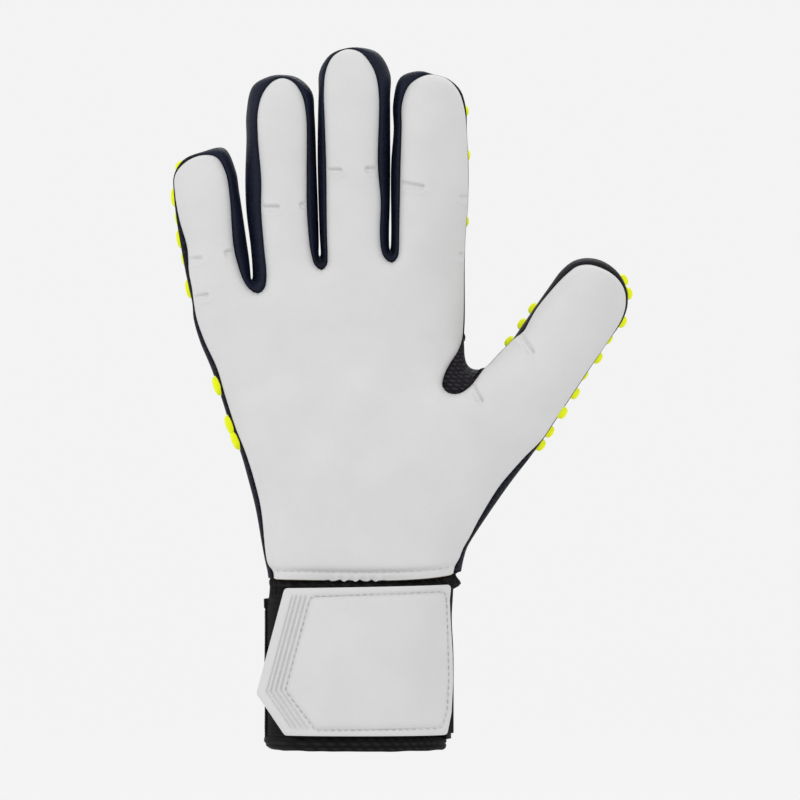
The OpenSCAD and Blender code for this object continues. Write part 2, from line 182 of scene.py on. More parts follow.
THUMB_SIDE = [(64.3, 113, 5.5, 66.6, 113), (58.9, 107, 6, 61.9, 107), (54, 101, 6, 57.4, 101),
              (46.1, 88, 6, 48.4, 88), (43.1, 82, 6, 44.6, 82), (40.5, 76, 6.3, 42.1, 76),
              (39.1, 71, 6.8, 41, 71), (37.4, 67.3, 7.2, 40.3, 67.3), (36.8, 64.5, 7.2, 39.8, 64.5)]
HEM_Z = 64.5


def digit_knots(name):
    d = DIGITS[name]
    return [(*d.at(s, u), seam, *d.at(*d.side(s, u))) for s, u, seam in EDGES[name]]


CHAIN = [("side", HAND_SIDE), ("little", digit_knots("little")), ("web", WEB_LITTLE),
         ("ring", digit_knots("ring")), ("web", WEB_RING), ("middle", digit_knots("middle")),
         ("web", WEB_MIDDLE), ("index", digit_knots("index")), ("side", INDEX_SIDE), ("crotch", CROTCH),
         ("thumb", digit_knots("thumb")), ("side", THUMB_SIDE)]
# Spacing of points along the seam.
STEP = 1.5


def lengths(line):
    """Length of each step along a line of points."""
    return np.linalg.norm(np.diff(line, axis=0), axis=1)


def run_of(line):
    """How far along the line each of its points lies."""
    return np.concatenate([[0], np.cumsum(lengths(line))])


def left_of(line):
    """At each point of a line, the direction to its left."""
    d = np.gradient(line, axis=0)
    return np.stack([-d[:, 1], d[:, 0]], 1) / np.linalg.norm(d, axis=1)[:, None]


def through(knots, counts):
    """A smooth curve through the knots, with a number of points from each to the next."""
    k = np.array(knots, float)
    k = np.vstack([2 * k[0] - k[1], k, 2 * k[-1] - k[-2]])
    out = []
    for i, n in enumerate(counts):
        p = k[i:i + 4]
        t = np.concatenate([[0], np.cumsum(np.sqrt(np.linalg.norm(np.diff(p, axis=0), axis=1)) + 1e-9)])
        x = np.linspace(t[1], t[2], n, endpoint=False)[:, None]
        a = [((t[j + 1] - x) * p[j] + (x - t[j]) * p[j + 1]) / (t[j + 1] - t[j]) for j in range(3)]
        b = [((t[j + 2] - x) * a[j] + (x - t[j]) * a[j + 1]) / (t[j + 2] - t[j]) for j in range(2)]
        out.append(((t[2] - x) * b[0] + (x - t[1]) * b[1]) / (t[2] - t[1]))
    return np.vstack([*out, k[-2]])


knots = np.array([k for _, ks in CHAIN for k in ks])
kinds = [(kind, i / len(ks)) for kind, ks in CHAIN for i in range(len(ks))]
spans = np.maximum(lengths(knots[:, :2]), lengths(knots[:, 3:]))
counts = np.maximum(2, np.round(spans / STEP)).astype(int)
seam_line = through(knots[:, :3], counts)
side_line = through(knots[:, 3:], counts)
owner = np.append(np.repeat(np.arange(len(counts)), counts), len(counts))
seam_xz, seam_depth = seam_line[:, :2], seam_line[:, 2]
# The seam stays inside the silhouette by at least a small margin.
MARGIN = 0.12
outward = left_of(side_line)
seam_xz += np.minimum(((side_line - seam_xz) * outward).sum(1) - MARGIN, 0)[:, None] * outward
# Shares of the way along the edges of the little and the index finger at which their gussets
# begin and end.
LITTLE_TIP, INDEX_TIP = 0.42, 0.5
gusset_edge = np.array([kinds[i][0] in ("ring", "middle", "web", "thumb")
                        or kinds[i][0] == "little" and kinds[i][1] >= LITTLE_TIP
                        or kinds[i][0] == "index" and kinds[i][1] <= INDEX_TIP for i in owner])
crotch_edge = np.array([kinds[i][0] == "crotch" for i in owner])


# ---- flat meshes and how they swell ----
def to_line(points, line):
    """Distance of each point from a line of points, and the nearest segment's number."""
    a, d = line[:-1], np.diff(line, axis=0)
    best = np.full(len(points), 1e9)
    which = np.zeros(len(points), int)
    for i in range(0, len(points), 2000):
        p = points[i:i + 2000, None]
        t = np.clip(((p - a) * d).sum(2) / (d * d).sum(1), 0, 1)
        gap = np.linalg.norm(p - a - t[..., None] * d, axis=2)
        which[i:i + 2000] = gap.argmin(1)
        best[i:i + 2000] = gap.min(1)
    return best, which


def hex_grid(low, high, pitch):
    rows = np.arange(low[1], high[1], pitch * math.sqrt(3) / 2)
    return np.array([(x + (i % 2) * pitch / 2, z) for i, z in enumerate(rows)
                     for x in np.arange(low[0], high[0], pitch)])


# Distances of the rows of points beside a seam, and the spacing of the points elsewhere.
RINGS = (0.25, 0.7, 1.4, 2.3, 3.5)
PITCH = 1.7


def edge_rings(line, rings=RINGS):
    """Rows of points that follow a line at growing distances on its right-hand side."""
    n = -left_of(line)
    out = []
    for r in rings:
        row = line + n * r
        row = row[to_line(row, line)[0] > 0.93 * r]
        keep, last = [], None
        for p in row:
            if last is None or np.linalg.norm(p - last) > 0.55 * STEP:
                keep.append(p)
                last = p
        out.append(np.array(keep).reshape(-1, 2))
    return np.vstack(out)


def triangulate(loop, inside, lines=()):
    """Triangles of the area within a closed loop: its points, faces, and the loop's own point numbers."""
    points = [Vector(p) for p in loop] + [Vector(p) for p in inside]
    edges = []
    for line in lines:
        n = len(points)
        points += [Vector(p) for p in line]
        edges += [(n + i, n + i + 1) for i in range(len(line) - 1)]
    xy, _, faces, origin, _, _ = delaunay_2d_cdt(points, edges, [list(range(len(loop)))[::-1]], 1, 1e-4)
    xy, faces = np.array([tuple(p) for p in xy]), np.array(faces)
    a, b, c = (xy[faces[:, i]] for i in range(3))
    area = (b[:, 0] - a[:, 0]) * (c[:, 1] - a[:, 1]) - (b[:, 1] - a[:, 1]) * (c[:, 0] - a[:, 0])
    faces = faces[np.abs(area) > 1e-7]
    flip = area[np.abs(area) > 1e-7] < 0
    faces[flip] = faces[flip][:, ::-1]
    used = np.unique(faces)
    renumber = np.full(len(xy), -1)
    renumber[used] = np.arange(len(used))
    place = {}
    for new, old in enumerate(origin):
        for o in old:
            place[o] = renumber[new]
    return xy[used], renumber[faces], np.array([place[i] for i in range(len(loop))])


def swell(xy, faces, fixed, values, screen, source):
    """Solves for a smooth height over the mesh: held on some points, and pushed up by source."""
    n = len(xy)
    pairs, weights = [], []
    mass = np.zeros(n)
    for i in range(3):
        a, b, c = (xy[faces[:, (i + k) % 3]] for k in range(3))
        u, v = b - a, c - a
        cross = np.abs(u[:, 0] * v[:, 1] - u[:, 1] * v[:, 0])
        pairs.append(faces[:, [(i + 1) % 3, (i + 2) % 3]])
        weights.append(0.5 * (u * v).sum(1) / cross)
        mass += np.bincount(faces[:, i], cross / 6, n)
    pairs, weights = np.vstack(pairs), np.concatenate(weights)
    i, j = pairs.T
    diagonal = np.bincount(i, weights, n) + np.bincount(j, weights, n) + screen ** 2 * mass
    free = np.ones(n, bool)
    free[fixed] = False

    def apply(x):
        return diagonal * x - np.bincount(i, weights * x[j], n) - np.bincount(j, weights * x[i], n)

    x = np.zeros(n)
    x[fixed] = values
    r = np.where(free, source * mass - apply(x), 0)
    z = r / diagonal
    p, rz = z.copy(), r @ z
    goal = 1e-12 * rz
    for _ in range(1500):
        if rz <= goal:
            break
        q = np.where(free, apply(p), 0)
        alpha = rz / (p @ q)
        x += alpha * p
        r -= alpha * q
        z = r / diagonal
        rz, old = r @ z, rz
        p = z + rz / old * p
    return x


# How soon a panel levels off away from its seams.
SCREEN = 0.109


def bump_shape(d, width):
    """1 at distance 0, falling smoothly to 0."""
    return np.exp(-(d / width) ** 2)


def smooth(x, low, high):
    t = np.clip((x - low) / (high - low), 0, 1)
    return t * t * (3 - 2 * t)


def between(x, a, b, c, d):
    """1 from b to c, falling smoothly to 0 at a and at d."""
    return smooth(x, a, b) * (1 - smooth(x, c, d))


def level(xs, z):
    """A level line of points."""
    return np.stack([xs, np.full(len(xs), z)], 1)


def wobble(x, z, size, seed):
    return noise.noise(Vector((x / size, z / size, seed)))


def soft_noise(xz, size, seed):
    return np.array([wobble(x, z, size, seed) for x, z in xz])


def cad_surface(names, side):
    """Depth of the CAD surface in front of or behind the middle plane, at a place."""
    trees = []
    for name in names:
        mesh = frame["nodes"][name].data
        trees.append(BVHTree.FromPolygons([v.co for v in mesh.vertices], [p.vertices for p in mesh.polygons]))

    def depth(x, z):
        hits = [t.ray_cast(Vector((x * MM, side * 0.1, z * MM)), Vector((0, -side, 0)))[0] for t in trees]
        return max((side * h.y / MM for h in hits if h), default=None)

    return depth


# Places on the hand at which a panel takes the CAD model's depth.
PALM_SPOTS = [(0, 74), (-18, 74), (20, 74), (-10, 100), (25, 100), (-25, 125), (5, 125), (40, 118),
              (-40, 155), (-12, 155), (18, 158), (-45, 170), (-12, 177), (25, 178)]


def heights(xy, faces, edge, edge_depth, side):
    """Depth of a swollen panel over its flat mesh, so that it fills the CAD model's depth."""
    seam = swell(xy, faces, edge, edge_depth, 0, 0)
    raised = np.sqrt(2 * np.maximum(swell(xy, faces, edge, 0, SCREEN, 1), 0))
    depth = cad_surface(["palm_foam" if side == FRONT else "hand_back"], side)
    spots = [(x, z, depth(x, z)) for x, z in PALM_SPOTS]
    for d in DIGITS.values():
        spots += [(*d.at(s, 0), d.radius(s)) for s in np.linspace(d.end, d.shoulder, 5)]
    at = np.array([s[:2] for s in spots])
    nearest = np.array([np.linalg.norm(xy - p, axis=1).argmin() for p in at])
    share = (np.array([s[2] for s in spots]) - seam[nearest]) / raised[nearest]
    weight = np.exp(-((xy[:, None] - at) ** 2).sum(2) / (2 * 9.0 ** 2)) + 1e-30
    return seam, raised * (weight @ share) / weight.sum(1)


# ---- mesh pieces ----
def vertex_normals(points, faces):
    n = np.zeros_like(points)
    for f in (faces[:, [0, 1, 2]], faces[:, [0, 2, 3]]) if faces.shape[1] == 4 else (faces,):
        a, b, c = (points[f[:, i]] for i in range(3))
        cross = np.cross(b - a, c - a)
        for i in range(3):
            for k in range(3):
                n[:, k] += np.bincount(f[:, i], cross[:, k], len(points))
    return n / np.maximum(np.linalg.norm(n, axis=1), 1e-12)[:, None]


def piece(name, points, faces, material, normals=None):
    """A mesh object from points in millimetres. Normals are given for each corner of each face."""
    mesh = bpy.data.meshes.new(name)
    mesh.from_pydata((np.asarray(points) * MM).tolist(), [], [list(map(int, f)) for f in faces])
    mesh.validate(clean_customdata=False)
    mesh.shade_smooth()
    mesh.materials.append(material)
    if normals is not None and len(mesh.loops) == len(normals):
        mesh.normals_split_custom_set(normals.tolist())
    thing = bpy.data.objects.new(name, mesh)
    bpy.context.scene.collection.objects.link(thing)
    return thing


def sewn(name, points, faces, thickness, material, normals=None, inner=None):
    """Part of a panel as a closed layer: its outer skin, its inner skin, and the walls between.

    The inner skin lies a thickness below the outer one, or on the given points. A part of a larger
    panel takes the whole panel's normals.
    """
    normals = vertex_normals(points, faces) if normals is None else normals
    inner_normals = normals if inner is None else vertex_normals(inner, faces)
    used, local = np.unique(faces, return_inverse=True)
    local = local.reshape(faces.shape)
    out, nrm = points[used], normals[used]
    n = len(used)
    sides = np.vstack([local[:, [i, (i + 1) % local.shape[1]]] for i in range(local.shape[1])])
    once = {tuple(e) for e in sides}
    rim = np.array([e for e in once if e[::-1] not in once])
    walls = np.stack([rim[:, 1], rim[:, 0], rim[:, 0] + n, rim[:, 1] + n], 1)
    every = np.vstack([out, out - nrm * thickness if inner is None else inner[used]])
    flat = np.cross(every[walls[:, 1]] - every[walls[:, 0]], every[walls[:, 2]] - every[walls[:, 1]])
    flat /= np.maximum(np.linalg.norm(flat, axis=1), 1e-9)[:, None]
    below = -inner_normals[used][local[:, ::-1].ravel()]
    corner = np.vstack([nrm[local.ravel()], below, np.repeat(flat, 4, 0)])
    return piece(name, every, [*local, *(local[:, ::-1] + n), *walls], material, corner)


# ---- the palm panel ----
HEM_RIGHT, HEM_LEFT = seam_line[-1], seam_line[0]
STITCH_Z = 67.6
# Length and height of the small waves in the middle of the hem.
WAVE, WAVE_H = 4.1, 0.5
WAVES_FROM, WAVES_TO = -12.5, 11
SEAM_SINK = np.minimum(0.8, 0.3 * seam_depth)
# Flex notches pressed into the foam: x and z of their outer and inner ends.
NOTCHES = [((-12.5, 222.6), (-7.2, 222.6)), ((9, 223.4), (4.2, 223.2)), ((-38, 208.4), (-31.2, 208.4)),
           ((-17.5, 209.8), (-21, 209.6)), ((-66.5, 188.3), (-60.9, 188.8)), ((-46, 191.8), (-49.7, 191.3)),
           ((-63.5, 173.6), (-58.5, 174.6)), ((15, 217.9), (24.2, 216.3)), ((42.5, 212.6), (40.3, 212.6)),
           ((41.8, 190.3), (40, 190.3)), ((62.3, 159.3), (66.5, 153.5)), ((43.2, 141), (47, 134.8))]


def to_segment(xz, a, b):
    a, b = np.array(a), np.array(b)
    t = np.clip((xz - a) @ (b - a) / ((b - a) @ (b - a)), 0, 1)
    return np.linalg.norm(xz - a - t[:, None] * (b - a), axis=1)


def to_slot(xz, a, b):
    """Distance from the middle line of a slot, and how far above it a place lies."""
    d = np.array(b) - np.array(a)
    n = np.array([-d[1], d[0]]) / np.linalg.norm(d)
    return to_segment(xz, a, b), (xz - np.array(a)) @ (n if n[1] > 0 else -n)


def near_segment(a, b, reach, pitch):
    low, high = np.minimum(a, b) - reach, np.maximum(a, b) + reach
    grid = hex_grid(low, high, pitch)
    return grid[to_segment(grid, a, b) < reach]


def thin(points, gap):
    """Leaves out points that lie nearer than a gap to one already kept."""
    kept, cells = [], {}
    for p in points:
        cell = (int(p[0] // gap), int(p[1] // gap))
        near = [q for i in (-1, 0, 1) for k in (-1, 0, 1) for q in cells.get((cell[0] + i, cell[1] + k), [])]
        if all((p[0] - q[0]) ** 2 + (p[1] - q[1]) ** 2 > gap * gap for q in near):
            kept.append(p)
            cells.setdefault(cell, []).append(p)
    return np.array(kept)


def flat_mesh(outline, hem, extra, lines=()):
    """A fine mesh of the area inside an outline whose two ends the hem joins."""
    loop = np.vstack([outline, hem])
    ring = np.vstack([loop, loop[:1]])
    inside = np.vstack([edge_rings(outline), *extra])
    grid = hex_grid(loop.min(0), loop.max(0), PITCH)
    grid = grid[to_line(grid, ring)[0] > RINGS[-1] + 0.5]
    inside = thin(np.vstack([*extra, inside, grid]), 0.34)
    clear = to_line(inside, np.vstack([hem[:1], hem[-1:]]))[0] > 0.5
    for line in lines:
        clear &= to_line(inside, line)[0] > 0.22
    return triangulate(loop, inside[clear], lines)


def hem_lift(x, z):
    """How far the hem and the fabric near it are raised: it curves up towards the thumb."""
    share = (x - HEM_LEFT[0]) / (HEM_RIGHT[0] - HEM_LEFT[0])
    return (1.7 - 1.1 * share + 3.0 * share ** 5) * (1 - smooth(z, HEM_Z, HEM_Z + 20))


hem_x = np.arange(HEM_RIGHT[0] - STEP, HEM_LEFT[0] + 1, -STEP)
hem_points = level(hem_x, HEM_Z)
fine = [near_segment(np.array(a), np.array(b), 2.9, 0.45) for a, b in NOTCHES]
stitch_rows = [level(np.arange(-31.4, 36.4, 1.1), STITCH_Z + dz)
               for dz in (-2.6, -1.6, -0.9, -0.45, 0, 0.45, 0.9, 1.6)]
palm_xz, palm_faces, palm_edge = flat_mesh(seam_xz, hem_points, [*fine, *stitch_rows])
edge_count = len(seam_xz)
palm_edge = palm_edge[:edge_count]
seam, raised = heights(palm_xz, palm_faces, palm_edge, seam_depth, FRONT)
inner, beside = to_line(palm_xz, seam_xz)
soft = smooth(raised, 1, 6)
depth = seam + raised - SEAM_SINK[beside] * bump_shape(inner, 0.7)
near_edge = smooth(raised, 0, 2.5)
depth += 0.55 * soft * soft_noise(palm_xz, 26, 3.1) + 0.16 * soft * soft_noise(palm_xz, 9, 8.7)
NOTCH_DEPTH, CREASE_DEPTH, LIP_H, HEM_DEPTH, STITCH_DEPTH = 0.7, 0.85, 0.4, 1.1, 0.55
for a, b in NOTCHES:
    # A flat-bottomed slot with a sharp crease along its upper side and a raised lip below it.
    d, above = to_slot(palm_xz, a, b)
    crease = bump_shape(above - 0.6, 0.3) * (1 - smooth(d, 1.2, 1.6))
    depth -= (NOTCH_DEPTH * (1 - smooth(d, 1.05, 1.65)) + CREASE_DEPTH * crease) * near_edge
    depth += LIP_H * bump_shape(d - 2.2, 0.6) * smooth(-above, -0.5, 1.5) * near_edge
below = smooth(palm_xz[:, 1], STITCH_Z + 2.5, STITCH_Z)
depth -= HEM_DEPTH * below + STITCH_DEPTH * bump_shape(palm_xz[:, 1] - STITCH_Z, 0.5)
waved = between(palm_xz[:, 0], WAVES_FROM, -10, 8.5, WAVES_TO)
waves = WAVE_H * waved * smooth(palm_xz[:, 1], STITCH_Z, HEM_Z)
depth += waves * np.cos(palm_xz[:, 0] * math.tau / WAVE)
palm_z = palm_xz[:, 1] + waves * np.sin(palm_xz[:, 0] * math.tau / WAVE) + hem_lift(*palm_xz.T)
palm_points = np.stack([palm_xz[:, 0], -depth, palm_z], 1)
at_hem = np.flatnonzero(palm_xz[:, 1] < HEM_Z + 0.01)
palm_hem = palm_points[at_hem[palm_xz[at_hem, 0].argsort()]]

# ---- sides and back ----
# Angles of the rows of points round a side, then the lengths of the gathers beside the seam and
# of the folds in the stretch patch.
ROWS = np.array([0, 0.06, 0.14, 0.26, 0.4, 0.55, 0.7, 0.85, 1]) * math.pi / 2
GATHER, STRETCH_FOLD = 3.4, 4.6
arc = run_of(seam_xz)
width = np.linalg.norm(side_line - seam_xz, axis=1)
stretch = np.convolve(np.pad(crotch_edge.astype(float), 4, "edge"), np.ones(9) / 9, "valid")
side_rows = []
for t in ROWS:
    across = math.sin(t)
    xz = seam_xz + (side_line - seam_xz) * across
    pucker = bump_shape(across * width - 0.9, 0.8) * np.sin(arc * math.tau / GATHER)
    fold = stretch * math.sin(2 * t) * np.sin(arc * math.tau / STRETCH_FOLD) * 0.5
    sunk = SEAM_SINK * bump_shape(across * width, 0.55) + 0.16 * pucker * (seam_depth > 3)
    y = (sunk - seam_depth) * math.cos(t) + fold
    side_rows.append(np.stack([xz[:, 0], y, xz[:, 1] + hem_lift(*xz.T)], 1))

# The quilted panel on the back: knots of its lower and upper edges and of the lines inside it.
YOKE = [(-31, 112), (-21, 118.5), (-2, 121.5), (18, 119), (31, 111)]
KNUCKLE_TOP = [(-47, 176), (-35, 181.5), (-14.6, 183.5), (12.3, 185), (30, 183), (37.5, 176)]
yoke = through(YOKE, [12] * 4)
left_edge = through([(-47, 176), (-46, 160), (-39, 132), (-31, 112)], [16] * 3)
right_edge = through([(31, 111), (36, 132), (38, 158), (37.5, 176)], [16] * 3)
top_edge = through(KNUCKLE_TOP, [12] * 5)
PANEL_LINES = [yoke, left_edge, right_edge, top_edge]
RAYS = [[(-33, 179), (-27, 148), (-17.5, 119.5)], [(-14.6, 182), (-10, 150), (-5, 121.4)],
        [(11.8, 183.5), (9.5, 152), (8, 121)]]
ray_lines = [through(r, [18, 18]) for r in RAYS]
hem_left, hem_right = side_line[0], side_line[-1]
back_hem_x = np.arange(hem_right[0] - STEP, hem_left[0] + 0.8, -STEP)
back_hem = level(back_hem_x, HEM_Z)
BESIDE = ((0, 0), (0.6, 0), (-0.6, 0), (0, 0.6), (0, -0.6))
along_lines = [line + step for line in [*PANEL_LINES, *ray_lines] for step in BESIDE]
flex_lines = []
for d in DIGITS.values():
    for s in (0.5 * (d.start + d.end) + 1, d.notch):
        ends = [d.at(s, -0.8 * d.radius(s)), d.at(s, 0.8 * d.radius(s))]
        flex_lines.append(through([ends[0], d.at(s + 0.6, 0), ends[1]], [10, 10]))
        along_lines += [flex_lines[-1] + [0, dz] for dz in (-1.4, -0.7, 0, 0.7, 1.4)]
back_xz, back_faces, back_edge = flat_mesh(side_line, back_hem, along_lines)
back_edge = back_edge[:edge_count]
seam, raised = heights(back_xz, back_faces, back_edge, np.zeros(edge_count), BACK)
depth = seam + raised
near_seam, nearest = to_line(back_xz, seam_xz)
from_side = to_line(back_xz, side_line)[0]
is_gusset = gusset_edge[nearest]
soft = smooth(raised, 1, 6)
depth -= np.where(is_gusset, 0.8 * bump_shape(near_seam, 0.65) * smooth(from_side, 0, 1), 0)
# Pressed lines: the panel's edges, the lines inside it, and those at which the digits bend.
for lines, deep, wide in ((PANEL_LINES, 0.75, 0.7), (ray_lines, 0.6, 0.8)):
    for line in lines:
        depth -= deep * bump_shape(to_line(back_xz, line)[0], wide)
for line in flex_lines:
    depth -= 1.0 * bump_shape(to_line(back_xz, line)[0], 1.3) * soft
depth += 0.45 * soft * soft_noise(back_xz, 24, 5.5) + 0.12 * soft * soft_noise(back_xz, 8, 1.2)
back_points = np.stack([back_xz[:, 0], depth, back_xz[:, 1] + hem_lift(*back_xz.T)], 1)

# Sides and back are one skin: the rows from the seam to the silhouette, then the back panel.
strip = np.vstack(side_rows[:-1])
strip_count = len(strip)
skin_points = np.vstack([strip, back_points])
last_row = strip_count + back_edge
row_ids = [np.arange(edge_count) + k * edge_count for k in range(len(ROWS) - 1)] + [last_row]
strip_faces = []
for a, b in zip(row_ids[:-1], row_ids[1:]):
    quads = np.stack([a[:-1], a[1:], b[1:], b[:-1]], 1)
    strip_faces += [quads[:, [0, 1, 2]], quads[:, [0, 2, 3]]]
strip_faces = np.vstack(strip_faces)
skin_faces = np.vstack([strip_faces, back_faces[:, ::-1] + strip_count])
skin_faces = skin_faces[(skin_faces[:, 0] != skin_faces[:, 1]) & (skin_faces[:, 1] != skin_faces[:, 2])]

# ---- bodies ----
# Half the length over which a digit folds at its middle, how far from its middle line its fabric
# reaches at most, and where across the thumb its fabric begins to follow it.
NOTCH_REACH, OUTER = 7, 30
THUMB_SIDE_START, THUMB_SIDE_END = -30, -18.5
FINGERS = [d for d in DIGITS.values() if d.name != "thumb"]


def outside_of(d, xz):
    """Distance of places from the digit's silhouette, less than nothing inside it."""
    s, u = d.local(xz)
    return np.abs(u) - d.reach(s, u)


def follow(d, xz):
    """How far the fabric at a place would follow the digit, were no other finger beside it."""
    s, u = d.local(xz)
    w = smooth(s, d.start, d.end) * (np.abs(u) < OUTER)
    return w * smooth(u, THUMB_SIDE_START, THUMB_SIDE_END) if d.name == "thumb" else w


def is_of(d, xz, groups):
    """Whether each group of places belongs to the digit: a finger has what lies nearest to its silhouette."""
    if d.name == "thumb":
        return np.ones(len(groups), bool)
    gaps = np.array([outside_of(f, xz)[groups].mean(1) for f in FINGERS])
    return np.argmin(gaps, 0) == FINGERS.index(d)


def base_weight(d, xz):
    """How far the fabric at a place follows the digit rather than the hand."""
    return follow(d, xz) * is_of(d, xz, np.arange(len(xz))[:, None])


def fold(d):
    """Places along a digit on either side of its middle hinge."""
    return max(d.end, d.notch - NOTCH_REACH), d.notch + NOTCH_REACH


def zones(xz, faces=None):
    """For each face or place, the body part it belongs to: 0 the hand, then two for each digit."""
    groups = np.arange(len(xz))[:, None] if faces is None else faces
    zone = np.zeros(len(groups), int)
    for k, d in enumerate(DIGITS.values()):
        w, own = follow(d, xz)[groups], is_of(d, xz, groups)
        zone[(w > 0).any(1) & own] = 2 * k + 1
        zone[(w >= 1).all(1) & own] = 2 * k + 2
    return zone


def zone_name(zone):
    """(digit, half) of a zone, or (None, None) for the hand."""
    if zone == 0:
        return None, None
    return list(DIGITS.values())[(zone - 1) // 2], ("lower", "upper")[(zone - 1) % 2]


def attach(thing, zone, own=None):
    """Makes a hand piece move with the hand, and bakes a digit piece's transform into its mesh; own gives,
    for each vertex, the place it follows, but the weights worked from it are not used.
    """
    d, half = zone_name(zone)
    if d is None:
        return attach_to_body(thing, "hand")
    start, end = (d.start, d.end) if half == "lower" else fold(d)
    ends = [[c * MM for c in (d.at(s, 0)[0], 0, d.at(s, 0)[1])] for s in (start, end)]
    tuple(ends[0])
    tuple(ends[1])
    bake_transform(thing)
    if own is None and d.name == "thumb" and half == "lower":
        own = np.array([v.co for v in thing.data.vertices])[:, [0, 2]] / MM
    if own is not None:
        weight = base_weight(d, own) if half == "lower" else smooth(d.local(own)[0], start, end)
    return thing


# Thickness of each layer.
FOAM_T, GUSSET_T, BACK_T = 3.2, 1.1, 2.2
palm_normals = vertex_normals(palm_points, palm_faces)
skin_normals = vertex_normals(skin_points, skin_faces)


def panels(label, points, normals, faces, thickness, material, hand_nodes):
    """Divides one panel's faces among the bodies, and makes a piece for each."""
    zone = zones(points[:, [0, 2]], faces)
    for z in np.unique(zone):
        d, half = zone_name(z)
        name = label + "_panel" if d is None else f"{d.name}_{label}_{half}_panel"
        nodes = hand_nodes if d is None else [f"{d.name}_{label}_{half}"]
        thing = sewn(name, points, faces[zone == z], thickness, material, normals)
        attach(thing, z)
        nodes = [n for n in nodes if n in frame["nodes"]]
        if nodes:
            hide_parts(*nodes)


# ---- materials ----
class Shader:
    """A principled material built from procedural nodes in the object's own space."""

    def __init__(self, name, **values):
        self.material = bpy.data.materials.new(name)
        self.material.use_nodes = True
        self.nodes, self.links = self.material.node_tree.nodes, self.material.node_tree.links
        self.skin = self.filled(self.nodes["Principled BSDF"], values)
        self.space = self.add("TexCoord").outputs["Object"]
        self.height = None

    def add(self, kind, **values):
        return self.filled(self.nodes.new("ShaderNode" + kind), values)

    def filled(self, node, values):
        for key, value in values.items():
            node.inputs[key.replace("_", " ")].default_value = value
        return node

    def put(self, socket, value):
        if isinstance(value, bpy.types.NodeSocket):
            self.links.new(value, socket)
        else:
            socket.default_value = value

    def texture(self, kind, **values):
        node = self.add("Tex" + kind, **values)
        self.links.new(self.space, node.inputs["Vector"])
        return node

    def noise(self, scale, detail=3):
        return self.texture("Noise", Scale=scale, Detail=detail, Roughness=0.55).outputs["Fac"]

    def cells(self, scale):
        return self.texture("Voronoi", Scale=scale).outputs["Distance"]

    def wave(self, scale, direction, distortion):
        node = self.texture("Wave", Scale=scale, Distortion=distortion, Detail_Scale=3)
        node.bands_direction = direction
        return node.outputs["Fac"]

    def math(self, kind, a, b):
        node = self.add("Math")
        node.operation = kind
        self.put(node.inputs[0], a)
        self.put(node.inputs[1], b)
        return node.outputs[0]

    def mixed(self, a, share_a, b, share_b):
        return self.math("ADD", self.math("MULTIPLY", a, share_a), self.math("MULTIPLY", b, share_b))

    def colour(self, value, *stops):
        node = self.add("ValToRGB")
        for e, (place, colour) in zip(node.color_ramp.elements, stops[:2]):
            e.position, e.color = place, (*colour, 1)
        for place, colour in stops[2:]:
            node.color_ramp.elements.new(place).color = (*colour, 1)
        self.links.new(value, node.inputs["Fac"])
        self.links.new(node.outputs["Color"], self.skin.inputs["Base Color"])
        return self

    def rough(self, value, low, high):
        node = self.add("MapRange", To_Min=low, To_Max=high)
        self.links.new(value, node.inputs["Value"])
        self.links.new(node.outputs["Result"], self.skin.inputs["Roughness"])
        return self

    def bump(self, value, distance, strength):
        node = self.add("Bump", Strength=strength, Distance=distance * MM)
        self.links.new(value, node.inputs["Height"])
        if self.height:
            self.links.new(self.height, node.inputs["Normal"])
        self.height = node.outputs["Normal"]
        self.links.new(self.height, self.skin.inputs["Normal"])
        return self


def foam(name, base, dirt):
    m = Shader(name, Roughness=0.8, Specular_IOR_Level=0.3, Sheen_Weight=0.03, Sheen_Roughness=0.5)
    cloud, pores, grain = m.noise(45, 4), m.cells(2600), m.noise(1500, 4)
    bright = tuple(min(1, c * 1.03) for c in base)
    m.colour(m.mixed(cloud, 0.7, grain, 0.3), (0.3, dirt), (0.55, base), (0.75, bright))
    m.rough(grain, 0.7, 0.92)
    return m.bump(grain, 0.09, 0.6).bump(pores, 0.05, 0.5).material


def pebbled(name, dark, light, scale, rough):
    m = Shader(name, Specular_IOR_Level=0.16)
    pebble, crease, cloud = m.cells(scale), m.noise(scale * 0.7, 5), m.noise(60, 3)
    m.colour(m.mixed(pebble, 0.45, cloud, 0.6), (0.25, dark), (0.8, light))
    m.rough(pebble, rough, rough + 0.25)
    return m.bump(pebble, 0.16, 0.8).bump(crease, 0.1, 0.7).material


def knitted(name, dark, light, pitch, depth):
    """Courses of small loops: two slanted waves that cross."""
    m = Shader(name, Specular_IOR_Level=0.1)
    scale = 1000 / pitch / math.tau * 0.32 * 3.14
    one, two = m.wave(scale, "DIAGONAL", 0.6), m.wave(scale, "Z", 0.4)
    loops, cloud = m.math("MULTIPLY", one, two), m.noise(70, 3)
    m.colour(m.mixed(loops, 0.6, cloud, 0.4), (0.2, dark), (0.75, light))
    m.rough(loops, 0.62, 0.9)
    return m.bump(loops, depth, 0.9).bump(m.noise(2400, 3), 0.05, 0.5).material


def rubber(name, dark, light, shine=0.4):
    m = Shader(name, Specular_IOR_Level=shine)
    cloud, grain = m.noise(220, 3), m.noise(2600, 3)
    m.colour(cloud, (0.3, dark), (0.7, light))
    m.rough(grain, 0.36, 0.52)
    return m.bump(grain, 0.03, 0.5).material


